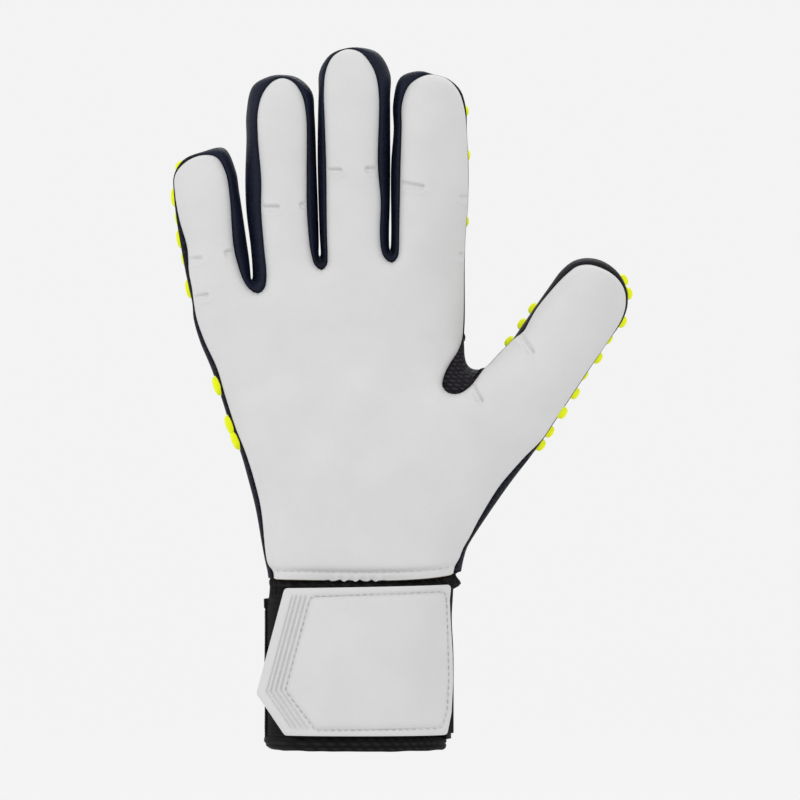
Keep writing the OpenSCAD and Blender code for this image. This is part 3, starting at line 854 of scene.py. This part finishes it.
WHITE_FOAM = foam("palm_foam", (0.645, 0.645, 0.645), (0.61, 0.61, 0.608))
PAD_FOAM = foam("strap_foam", (0.64, 0.64, 0.645), (0.61, 0.61, 0.607))
RAW_FOAM = foam("raw_foam_edge", (0.72, 0.62, 0.48), (0.6, 0.5, 0.38))
NAVY = pebbled("navy_synthetic", (0.002, 0.003, 0.008), (0.009, 0.013, 0.031), 1100, 0.42)
CHARCOAL = pebbled("charcoal_synthetic", (0.006, 0.006, 0.008), (0.018, 0.017, 0.022), 1300, 0.5)
BACK_KNIT = knitted("back_fabric", (0.006, 0.007, 0.012), (0.022, 0.024, 0.036), 0.9, 0.14)
STRETCH_KNIT = knitted("stretch_mesh", (0.008, 0.007, 0.009), (0.045, 0.038, 0.05), 0.8, 0.2)
ELASTIC = knitted("cuff_elastic", (0.004, 0.0035, 0.004), (0.015, 0.013, 0.014), 0.7, 0.08)
BINDING = knitted("hem_binding", (0.005, 0.0045, 0.005), (0.02, 0.017, 0.018), 1.1, 0.12)
LINING = knitted("lining_knit", (0.035, 0.036, 0.04), (0.1, 0.1, 0.11), 1.0, 0.12)
YELLOW = rubber("dot_rubber", (0.77, 0.85, 0.0), (0.85, 0.92, 0.0), 0.22)
# The white thread's grey is partly its own light grey and partly painted shade of the stitch grooves it lies
# in.
WHITE_THREAD_PAINTED_SHADE = rubber("white_thread", (0.42, 0.42, 0.42), (0.6, 0.6, 0.6))
NAVY_THREAD = rubber("navy_thread", (0.02, 0.026, 0.055), (0.035, 0.045, 0.09))

panels("foam", palm_points, palm_normals, palm_faces, FOAM_T, WHITE_FOAM, ["palm_foam"])

# ---- which part of the skin is gusset, stretch patch or back ----
def within(points, loop):
    """True for the points inside a closed loop."""
    a, b = loop, np.roll(loop, -1, axis=0)
    out = np.zeros(len(points), bool)
    for i in range(0, len(points), 2000):
        x, z = points[i:i + 2000, 0, None], points[i:i + 2000, 1, None]
        crosses = (a[:, 1] > z) != (b[:, 1] > z)
        with np.errstate(divide="ignore", invalid="ignore"):
            at = a[:, 0] + (z - a[:, 1]) / (b[:, 1] - a[:, 1]) * (b[:, 0] - a[:, 0])
        out[i:i + 2000] = (crosses & (x < at)).sum(1) % 2 == 1
    return out


column = np.tile(np.arange(edge_count - 1), 2 * (len(ROWS) - 1))
middle_of = back_xz[back_faces].mean(1)
beside = to_line(middle_of, seam_xz)[1]
outside = ~within(middle_of, seam_xz)
GUSSET, STRETCH, PLAIN = 1, 2, 0
region = np.concatenate([np.where(gusset_edge[column], GUSSET, np.where(crotch_edge[column], STRETCH, PLAIN)),
                         np.where(outside & gusset_edge[beside], GUSSET, PLAIN)])
on_thumb = DIGITS["thumb"].local(skin_points[skin_faces].mean(1)[:, [0, 2]])
on_thumb = (on_thumb[0] > -5) & (on_thumb[1] > -25)


def skin(label, chosen, thickness, material, hand_nodes):
    if chosen.any():
        panels(label, skin_points, skin_normals, skin_faces[chosen], thickness, material,
               hand_nodes)


skin("back", region == PLAIN, BACK_T, BACK_KNIT, ["hand_back"])
skin("gusset", (region == GUSSET) & ~on_thumb, GUSSET_T, NAVY, ["web_gussets"])
skin("gusset", (region == GUSSET) & on_thumb, GUSSET_T, CHARCOAL, [])
skin("web", region == STRETCH, GUSSET_T, STRETCH_KNIT, ["thumb_web"])

# ---- dots and stitches ----
skin_tree = BVHTree.FromPolygons(skin_points.tolist(), skin_faces.tolist())
palm_tree = BVHTree.FromPolygons(palm_points.tolist(), palm_faces.tolist())


def turned(profile, sides):
    """Points and faces of a profile, radius and height, turned about z."""
    ring = np.arange(sides) * math.tau / sides
    points = [(r * math.cos(a), r * math.sin(a), h) for r, h in profile for a in ring]
    around = [(i, (i + 1) % sides) for i in range(sides)]
    faces = [(k + i, k + j, k + sides + j, k + sides + i)
             for k in range(0, (len(profile) - 1) * sides, sides) for i, j in around]
    return points, faces


def revolved(profile, sides):
    """A closed form turned about z; the profile runs from its base to its crown."""
    points, faces = turned(profile, sides)
    points.append((0, 0, profile[-1][1]))
    last = (len(profile) - 1) * sides
    faces += [(last + i, last + (i + 1) % sides, len(points) - 1) for i in range(sides)]
    faces.append(tuple(range(sides))[::-1])
    return np.array(points), faces


def placed(form, centre, normal, along, size=(1, 1, 1)):
    """A small form moved on to a surface: its z on the normal and its x along a direction."""
    points, faces = form
    n = np.array(normal) / np.linalg.norm(normal)
    y = np.cross(n, along)
    y /= np.linalg.norm(y)
    axes = np.stack([np.cross(y, n), y, n])
    return np.array(centre) + (points * size) @ axes, faces, np.array(centre)


def joined(name, items, material):
    """One mesh of many small forms, and the place that each of its points follows."""
    points = np.vstack([p for p, _, _ in items])
    starts = np.cumsum([0] + [len(p) for p, _, _ in items])
    faces = [[int(v + s) for v in f] for (_, fs, _), s in zip(items, starts) for f in fs]
    thing = piece(name, points, faces, material)
    return thing, np.vstack([np.tile(c[[0, 2]], (len(p), 1)) for p, _, c in items])


def scatter(label, items, material):
    """Joins small forms into a piece for each body that they lie on."""
    zone = zones(np.array([c[[0, 2]] for _, _, c in items]))
    for z in np.unique(zone):
        d, half = zone_name(z)
        name = "hand_" + label if d is None else f"{d.name}_{label}_{half}"
        thing, own = joined(name + "_forms", [i for i, k in zip(items, zone) if k == z], material)
        attach(thing, z, own)
        if name in frame["nodes"]:
            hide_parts(name)


# Profile of a dot: radius and height.
DOT = revolved([(2.75, -0.5), (2.75, 0.12), (2.5, 0.2), (2.42, 0.9), (2.22, 1.45), (1.75, 1.9), (1.0, 2.15),
                (0.4, 2.2)], 20)
# How far towards the back, and up, a node's dots near the middle plane are moved.
SIDE_DEPTH = 9.0
SIDE_SHIFT = {"index_dots_lower": (3.8, 0), "index_dots_upper": (3.8, 0), "little_dots_upper": (1.2, -3.5),
              "little_dots_lower": (-2, -4.5), "thumb_dots_lower": (-5.5, 0), "hand_dots": (-3.2, 0)}
# Dots beside the silhouette: digit, place along it, side, and depth.
EDGE_DOTS = [("thumb", s, -1, 4.0) for s in (22.8, 31.2, 38.5)]
EDGE_DOTS += [("thumb", -2, 1, 1.2), ("thumb", 63.7, 1, 3), ("thumb", 76, 1, 3.5), ("little", 47.5, -1, 5.5)]
dots = []
for name, s, side, y in EDGE_DOTS:
    d = DIGITS[name]
    along, across = d.side(s, side * max(1, d.radius(s) - 6))
    x, z = d.at(along, across)
    hit, normal, _, _ = skin_tree.find_nearest(Vector((x, y, z)))
    dots.append(placed(DOT, hit, normal, (0.0, 0.0, 1.0)))
for node, thing in frame["nodes"].items():
    if "_dots" not in node:
        continue
    points = np.round(node_points(node), 3)
    key, local = np.unique(points, axis=0, return_inverse=True)
    local = local.ravel()
    group = np.arange(len(key))
    for _ in range(30):
        for polygon in thing.data.polygons:
            ids = local[list(polygon.vertices)]
            group[ids] = group[ids].min()
    for g in np.unique(group):
        island = key[group == g]
        centre = 0.5 * (island.min(0) + island.max(0))
        if abs(centre[1]) < SIDE_DEPTH:
            centre[1:] += SIDE_SHIFT.get(node, (0, 0))
        hit, normal, _, _ = skin_tree.find_nearest(Vector(centre))
        # The dots on the little-finger edge of the hand are longer.
        size = (1.5, 1, 0.8) if normal[0] < -0.7 and centre[0] < 0 else (1, 1, 1)
        dots.append(placed(DOT, hit, normal, (0.0, 0.0, 1.0), size))
scatter("dots", dots, YELLOW)


def along_line(line, pitch):
    """Places and directions at equal steps along a line of points."""
    run = run_of(line)
    at = np.arange(pitch / 2, run[-1], pitch)
    places, ahead, behind = (np.stack([np.interp(at + step, run, column) for column in line.T], 1)
                             for step in (0, 0.4, -0.4))
    return places, ahead - behind


# A stitch along x: half its length and its radius are 1 here.
THREAD = revolved([(0.05, -1), (0.6, -0.85), (1, -0.5), (1, 0.5), (0.6, 0.85), (0.05, 1)], 6)
THREAD = (THREAD[0][:, [2, 1, 0]] * [1, 1, -1], THREAD[1])
THREAD_R = 0.24


def stitches(line, tree, side, pitch, length):
    """Thread stitches on a surface below a line drawn on the x-z plane."""
    items = []
    places, ways = along_line(line, pitch)
    for (x, z), (dx, dz) in zip(places, ways):
        hit, normal, _, _ = tree.ray_cast(Vector((x, side * 60, z)), Vector((0, -side, 0)))
        if hit and (abs(dx) + abs(dz)) > 0:
            items.append(placed(THREAD, hit, normal, (dx, 0, dz), (length / 2, THREAD_R, THREAD_R)))
    return items


STITCH_RIGHT, STITCH_LEFT = 35.6, -31.6
stitch_line = level(np.linspace(STITCH_RIGHT, STITCH_LEFT, 30), STITCH_Z)
stitch_line[:, 1] += hem_lift(*stitch_line.T)
hem_stitches = stitches(stitch_line, palm_tree, FRONT, pitch=2.7, length=1.8)
scatter("hem_stitches", hem_stitches, WHITE_THREAD_PAINTED_SHADE)
back_stitches = []
for line in [*PANEL_LINES, *ray_lines]:
    for shift in (-1.7, 1.7):
        row = line + left_of(line) * shift
        back_stitches += stitches(row, skin_tree, BACK, pitch=3.2, length=2.1)
scatter("back_stitches", back_stitches, NAVY_THREAD)

# ---- wrist, cuff and strap ----
# Exponent of the cuff's oval section, and how far its lower edge is drawn in on the thumb side.
SQUARENESS, HEM_TUCK = 2.4, 2.2
cuff_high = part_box("cuff_band")[1]
HALF_W, HALF_D, CUFF_H = cuff_high.x / MM, cuff_high.y / MM, cuff_high.z / MM


def oval(angle, grow, half_w=HALF_W, half_d=HALF_D):
    c, s = math.cos(angle), math.sin(angle)
    return (math.copysign(abs(c) ** (2 / SQUARENESS), c) * (half_w + grow),
            math.copysign(abs(s) ** (2 / SQUARENESS), s) * (half_d + grow))


def worn(thing, body, slot_name, *nodes):
    """Gives a piece its body and hides the CAD nodes that it replaces. The slot name is not used."""
    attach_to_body(thing, body)
    if nodes:
        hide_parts(*nodes)


def grid_piece(name, place, us, vs, thickness, material, closed=False):
    """A layer of cloth from a function of two parameters, closed on itself along the first if asked.

    The parameters' values are given, or how many of them there are from 0 to 1.
    """
    us, vs = (np.linspace(0, 1, n) if isinstance(n, int) else n for n in (us, vs))
    points = np.array([place(u, v) for v in vs for u in us])
    nu, nv = len(us), len(vs)
    i = np.arange(nu if closed else nu - 1)
    k = (i + 1) % nu
    faces = np.vstack([np.stack([i + nu * j, k + nu * j, k + nu * (j + 1), i + nu * (j + 1)], 1)
                       for j in range(nv - 1)])
    return sewn(name, points, faces, thickness, material)


def ribs(z, low, high, pitch=1.25):
    return between(z, low, low + 1, high - 1, high) * math.cos(math.tau * z / pitch)


def tucked(angle, z):
    """How far the cuff's lower edge is drawn in on the thumb side."""
    return HEM_TUCK * max(0, math.cos(angle)) ** 3 * (1 - smooth(z, 3, 14))


def cuff_place(angle, z):
    grow = 0.14 * ribs(z, 5, 55) + 0.3 * wobble(angle * 5, z, 8, 2.2) - 0.5 - tucked(angle, z)
    grow -= 0.8 * math.exp(-((z - CUFF_H) / 1.2) ** 2)
    return (*oval(angle, grow), z)


turn = np.linspace(0, math.tau, 161)[:-1]
cuff_rows = np.arange(1.5, CUFF_H + 0.1, 0.3125)
cuff = grid_piece("cuff_elastic_tube", cuff_place, turn, cuff_rows, 2.2, ELASTIC, True)
worn(cuff, "hand", "elastic", "cuff_band")


BINDING_LOW, BINDING_H = 0.4, 4.9


def hem_place(angle, v):
    """A folded binding: its section bulges, and its lower lip waves a little."""
    z = BINDING_LOW + BINDING_H * v + 0.35 * wobble(angle * 6, 0, 1.4, 6.1) * (1 - v)
    grow = 0.6 * (1 - abs(2 * v - 1) ** 3) - 0.4 * math.exp(-((v - 0.42) / 0.08) ** 2) - tucked(angle, z)
    grow -= 2.2 * max(0, -math.cos(angle)) ** 3 * (1 - v) ** 3
    return (*oval(angle, grow), z)


binding = grid_piece("cuff_hem_binding", hem_place, turn, 17, 2.6, BINDING, True)
worn(binding, "hand", "binding", "cuff_hem")


GORE_LOW, GORE_H = 56.5, 15


def gore_place(angle, v):
    """Gathered cloth that joins the cuff to the hand."""
    z = GORE_LOW + GORE_H * v
    fold_in = 0.55 * math.cos(angle * 34 + 2 * wobble(angle * 3, 0, 1, 4.4)) * math.sin(math.pi * v)
    tuck = 0.6 * math.sin(math.pi * v) + 2.4 * smooth(v, 0.5, 0.75)
    x, y = oval(angle, -1.2 + fold_in - tuck, HALF_W, HALF_D - 1)
    wide = 4.7 * max(0, math.cos(angle)) * smooth(v, 0.25, 0.5)
    wide -= 2.0 * max(0, -math.cos(angle)) * smooth(v, 0.4, 0.75)
    return x + 1.2 * v + wide, y, z


fine_turn = np.linspace(0, math.tau, 289)[:-1]
gore = grid_piece("wrist_gore_cloth", gore_place, fine_turn, 15, 1.2, BINDING, True)
worn(gore, "hand", "stretch_fabric", "wrist_gore")


LINING_LOW, LINING_H, LINING_HALF_W, LINING_HALF_D = 62, 62, 33.5, 15.2


def lining_place(angle, v):
    """The lining's sleeve, up to where the hand shell widens towards the thumb."""
    z = LINING_LOW + LINING_H * v
    wide = LINING_HALF_W + 8 * v
    closing = 30 * max(0, v - 0.93) / 0.07
    x, y = oval(angle, 0.5 * wobble(angle * 4, z, 9, 1.7) - closing, wide - 1.5, LINING_HALF_D)
    return x + 1.2 + 3 * v, y, z


lining = grid_piece("hand_lining_sleeve", lining_place, turn[::2], 33, 0.8, LINING, True)
worn(lining, "hand", "lining", "hand_lining")


def hem_edge_place(u, v):
    """The palm's hem: a raw foam edge under the white panel."""
    x = HEM_LEFT[0] + 0.8 + (HEM_RIGHT[0] - HEM_LEFT[0] - 1.6) * u
    y, z = (np.interp(x, palm_hem[:, 0], palm_hem[:, k]) for k in (1, 2))
    return x, y + 0.4 + 2.4 * v, z - 0.3 * math.sin(math.pi * v)


hem_edge = grid_piece("palm_hem_edge", hem_edge_place, np.linspace(1, 0, 120), 5,
                      0.9, RAW_FOAM)
worn(hem_edge, "hand", "palm_latex", "palm_hem")

# ---- strap ----
hinge = next(j for j in frame["joints"] if j["name"] == "strap_peel")
STRAP_ROOT = hinge["pos_m"][0] / MM
# Thickness of the tapes; then the strap's distance from the cuff, its thickness, its pad's and the
# pad's skin's.
TAPE_T = 0.9
STRAP_OFF, STRAP_T, PAD_T, PAD_SKIN_T = 2 * TAPE_T + 0.4, 2.0, 2.2, 0.9
# Where the strap's pull end leaves the cuff's curve, and its slope from there.
BEND_X, SLOPE = -27.0, 0.5
# Corners of the strap's moulded part and of its pad: x and z.
STRAP_OUTLINE = [(35.9, 64.0), (-28.0, 62.8), (-38.9, 22.3), (-27.9, 6.5), (34.3, 6.5), (36.0, 15),
                 (36.6, 27), (36.4, 38), (35.6, 51), (35.3, 58)]
PAD_OUTLINE = [(33.6, 61.3), (-17.8, 59.5), (-27.4, 23.8), (-15.8, 8.8), (32.0, 9.4), (34.0, 16),
               (34.6, 28), (34.2, 45)]


def cuff_y(x, off):
    """Depth of the cuff's front at x, or of a layer a distance outside it."""
    u = np.minimum(0.9999, np.abs(x) / (HALF_W + off))
    return -(HALF_D + off) * (1 - u ** SQUARENESS) ** (1 / SQUARENESS)


def layer_y(x, off):
    """Depth of the strap's layer at x: its pull end stands off in a straight line."""
    held = np.maximum(x, BEND_X)
    return cuff_y(held, off) + (held - x) * SLOPE


def rounded(corners, radius, step=0.8):
    """A closed outline with its corners rounded, as evenly spaced points."""
    c = np.array(corners, float)
    out = []
    for before, at, after in zip(np.roll(c, 1, 0), c, np.roll(c, -1, 0)):
        u, v = (before - at) / np.linalg.norm(before - at), (after - at) / np.linalg.norm(after - at)
        reach = radius / math.tan(0.5 * math.acos(u @ v))
        for t in np.linspace(0, 1, 9):
            out.append((1 - t) ** 2 * (at + u * reach) + 2 * t * (1 - t) * at + t * t * (at + v * reach))
    out = np.array(out + out[:1])
    return along_line(out, step)[0]


def fan_mesh(outline, extra, pitch, rings=(0.2, 0.5, 0.9, 1.5)):
    """A fine mesh inside a closed outline."""
    ring = np.vstack([outline, outline[:1]])
    clockwise = np.sum(np.diff(ring[:, 0]) * (ring[1:, 1] + ring[:-1, 1])) > 0
    line = outline if clockwise else outline[::-1]
    grid = hex_grid(line.min(0), line.max(0), pitch)
    grid = grid[(to_line(grid, ring)[0] > rings[-1] + 0.4) & within(grid, outline)]
    inside = thin(np.vstack([*extra, edge_rings(line, rings), grid]), 0.3)
    return triangulate(line, inside[within(inside, outline) & (to_line(inside, ring)[0] > 0.12)])


band_line, pad_line = rounded(STRAP_OUTLINE, 1.6), rounded(PAD_OUTLINE, 2.6)
pad_ring = np.vstack([pad_line, pad_line[:1]])
band_ring = np.vstack([band_line, band_line[:1]])
point_top, point, point_low = (np.array(STRAP_OUTLINE[i]) for i in (1, 2, 3))


def inset(xz):
    """Distance inside the two edges of the pull end."""
    out = []
    for a, b in ((point_top, point), (point, point_low)):
        d = (b - a) / np.linalg.norm(b - a)
        out.append((xz - a) @ np.array([-d[1], d[0]]))
    return np.minimum(*out)


# The ridges lie between two distances inside the pull end's edges.
RIDGE_FROM, RIDGE_TO, RIDGE_PITCH, RIDGE_DEPTH = 3.6, 10.6, 1.75, 1.0
ridge_area = hex_grid((-38, 8), (-12, 62), 0.42)
ridge_area = ridge_area[(inset(ridge_area) > RIDGE_FROM - 0.5) & (inset(ridge_area) < RIDGE_TO + 0.5)]
beside_pad = [pad_line + (pad_line - pad_line.mean(0)) * k for k in (0.008, 0.016, 0.028, 0.045)]
band_xz, band_faces, _ = fan_mesh(band_line, [ridge_area, *beside_pad], 1.6)
pad_gap = to_line(band_xz, pad_ring)[0]
under_pad = within(band_xz, pad_line)
edge_gap = to_line(band_xz, band_ring)[0]
into = inset(band_xz)
ends = between(band_xz[:, 1], 7.5, 10, 59, 61) * smooth(pad_gap, 0.7, 1.6)
ridge = ends * smooth(into, RIDGE_FROM - 0.4, RIDGE_FROM + 0.4)
ridge *= 1 - smooth(into, RIDGE_TO - 0.4, RIDGE_TO + 0.4)
off = STRAP_OFF + STRAP_T - 0.5 * bump_shape(edge_gap, 0.35)
off -= RIDGE_DEPTH * ridge * (0.5 + 0.5 * np.cos(math.tau * (into - RIDGE_FROM) / RIDGE_PITCH))
off -= np.where(under_pad, 0.9, 0.75 * bump_shape(pad_gap, 0.8))
off += 0.25 * soft_noise(band_xz, 22, 9.3)
band_points = np.stack([band_xz[:, 0], layer_y(band_xz[:, 0], off), band_xz[:, 1]], 1)
band_inner = np.stack([band_xz[:, 0], layer_y(band_xz[:, 0], STRAP_OFF), band_xz[:, 1]], 1)
band = sewn("strap_band_layer", band_points, band_faces, STRAP_T, PAD_FOAM, inner=band_inner)
worn(band, "strap", "strap_rubber", "strap_band")

pad_xz, pad_faces, _ = fan_mesh(pad_line, [], 1.5, (0.15, 0.4, 0.8, 1.4, 2.2, 3.2))
gap_in = to_line(pad_xz, pad_ring)[0]
swollen = PAD_T * (1 - np.exp(-gap_in / 1.1)) * 0.75 + 0.9 * smooth(gap_in, 1, 14)
off = STRAP_OFF + STRAP_T - 0.75 + swollen + 0.3 * soft_noise(pad_xz, 17, 4.9) * smooth(gap_in, 1, 6)
pad_points = np.stack([pad_xz[:, 0], layer_y(pad_xz[:, 0], off), pad_xz[:, 1]], 1)
pad = sewn("strap_pad_foam", pad_points, pad_faces, PAD_SKIN_T, PAD_FOAM)
worn(pad, "strap", "strap_rubber", "strap_pad")

strap_tree = BVHTree.FromPolygons([*band_points.tolist(), *pad_points.tolist()],
                                  [*band_faces.tolist(), *(pad_faces + len(band_points)).tolist()])
pad_row = pad_line + (pad_line - pad_line.mean(0)) * 0.014
pad_stitches = stitches(pad_row, strap_tree, FRONT, pitch=2.6, length=1.7)
threads, _ = joined("strap_stitches", pad_stitches, WHITE_THREAD_PAINTED_SHADE)
worn(threads, "strap", "strap_rubber")


# The tab's near end, its lower end and height, and the height at which its far end is drawn in.
TAB_X, TAB_LOW, TAB_H, TAB_DIP = 31.0, 7, 56, 51


def tab_place(u, v):
    """The elastic tab that joins the strap's root to the strap's stiff layer."""
    z = TAB_LOW + TAB_H * v
    x = TAB_X + (STRAP_ROOT - 0.7 * bump_shape(z - TAB_DIP, 9) + 0.4 - TAB_X) * u
    return x, layer_y(x, STRAP_OFF + 1.15 + 0.1 * ribs(z, 8, 60)), z


tab = grid_piece("strap_tab_elastic", tab_place, 14, 173, 1.0, ELASTIC)
worn(tab, "strap", "elastic")


# The two tapes: x of the little-finger end, width, lower end and height.
PATCH = (-29, 52, 10, 45)
HOOK = (-28, 26, 14, 38)


def patch_place(u, v):
    x, z = PATCH[0] + PATCH[1] * u, PATCH[2] + PATCH[3] * v
    fuzz = 0.1 * wobble(x, z, 0.9, 3.3)
    return x, cuff_y(x, TAPE_T + fuzz), z


LOOP_FUZZ = knitted("loop_tape", (0.006, 0.006, 0.007), (0.03, 0.03, 0.033), 0.5, 0.2)
loops = grid_piece("loop_tape_patch", patch_place, 90, 80,
                   0.8, LOOP_FUZZ)
worn(loops, "hand", "hook_loop", "loop_patch")

PIN = revolved([(0.28, 0), (0.2, 0.35), (0.34, 0.5), (0.12, 0.62)], 6)
PIN_PITCH, PIN_COLUMNS, PIN_ROWS = 1.5, 17, 25
pins = []
for i in range(PIN_COLUMNS):
    for k in range(PIN_ROWS):
        x, z = HOOK[0] + 1 + PIN_PITCH * i, HOOK[2] + 1 + PIN_PITCH * k
        pins.append(placed(PIN, (x, float(layer_y(x, STRAP_OFF - 0.4)), z), (0, 1, 0), (0, 0, 1)))


def hook_place(u, v):
    x, z = HOOK[0] + HOOK[1] * u, HOOK[2] + HOOK[3] * v
    return x, float(layer_y(x, STRAP_OFF + 0.1)), z


hooks, _ = joined("hook_tape_pins", pins, LOOP_FUZZ)
worn(hooks, "strap", "hook_loop")
hook_base = grid_piece("hook_tape_base", hook_place, 20, 26, 0.55, LOOP_FUZZ)
worn(hook_base, "strap", "hook_loop", "strap_hook")


ELASTIC_LOW, ELASTIC_H = 4.5, 53.6
ELASTIC_FROM, ELASTIC_TURN = -0.36, math.pi + 0.52


def elastic_place(u, v):
    """The strap's elastic, round the back of the wrist from its root to the little-finger side."""
    angle = ELASTIC_FROM + ELASTIC_TURN * u
    z = ELASTIC_LOW + (ELASTIC_H + 1.1 * (1 + math.cos(angle))) * v
    fold_top = 0.3 * (smooth(z, 54, 55) - 0.6 * bump_shape(z - 54.2, 0.5))
    grow = 0.25 + 0.1 * ribs(z, 6, 54, 0.9) + fold_top + 0.15 * wobble(angle * 5, z, 9, 7.7)
    return (*oval(angle, grow), z)


elastic = grid_piece("strap_elastic_band", elastic_place, 100, 240,
                     1.3, ELASTIC)
worn(elastic, "hand", "elastic", "strap_elastic")

# ---- stage, light and camera ----
PAPER = (0.905, 0.905, 0.905)
paper = Shader("paper", Base_Color=(0.12, 0.12, 0.12, 1), Roughness=1, Specular_IOR_Level=0,
               Emission_Color=(*PAPER, 1), Emission_Strength=0.87).material
FLOOR_Z, FLOOR_R, BEND_R, WALL_TOP = -0.13, 3.4, 1.4, 5.0


def paper_place():
    """A round sheet of paper: a floor whose rim curves up all round into a wall."""
    line = [(0.001, FLOOR_Z), (1.0, FLOOR_Z), (2.2, FLOOR_Z), (FLOOR_R, FLOOR_Z)]
    line += [(FLOOR_R + BEND_R * math.sin(a), FLOOR_Z + BEND_R - BEND_R * math.cos(a))
             for a in np.linspace(0, math.pi / 2, 13)[1:]]
    line.append((FLOOR_R + BEND_R, WALL_TOP))
    points, faces = turned(line, 96)
    return np.array(points) / MM, faces


backdrop = piece("paper_backdrop", *paper_place(), paper)
world = bpy.data.worlds.new("studio")
bpy.context.scene.world = world
world.use_nodes = True
world.node_tree.nodes["Background"].inputs["Color"].default_value = (*PAPER, 1)
world.node_tree.nodes["Background"].inputs["Strength"].default_value = 1.0


def lamp(name, place, aim, size, power):
    light = bpy.data.lights.new(name, "AREA")
    light.shape, light.size, light.energy = "DISK", size, power
    thing = bpy.data.objects.new(name, light)
    bpy.context.scene.collection.objects.link(thing)
    thing.location = place
    thing.rotation_euler = (Vector(aim) - Vector(place)).to_track_quat("-Z", "Y").to_euler()


CENTRE = (0.0, 0.0, 0.13)
lamp("key", (-1.2, -0.8, 0.8), CENTRE, 0.8, 4.6)
lamp("fill", (0.9, -1.2, 0.8), CENTRE, 0.8, 2.6)
lamp("rim", (0.2, 1.0, 1.2), CENTRE, 0.9, 6)
# Lens and sensor in the camera's millimetres, and the width in metres that the picture takes in.
LENS, SENSOR, FRAME_WIDTH = 270, 36, 0.308
camera = bpy.data.objects.new("camera", bpy.data.cameras.new("camera"))
bpy.context.scene.collection.objects.link(camera)
camera.data.lens, camera.data.sensor_width = LENS, SENSOR
camera.location = (0.0162, -0.004 - FRAME_WIDTH * LENS / SENSOR, 0.1348)
camera.rotation_euler = (math.pi / 2, 0, 0)
bpy.context.scene.camera = camera
bpy.context.scene.view_settings.view_transform = "Standard"
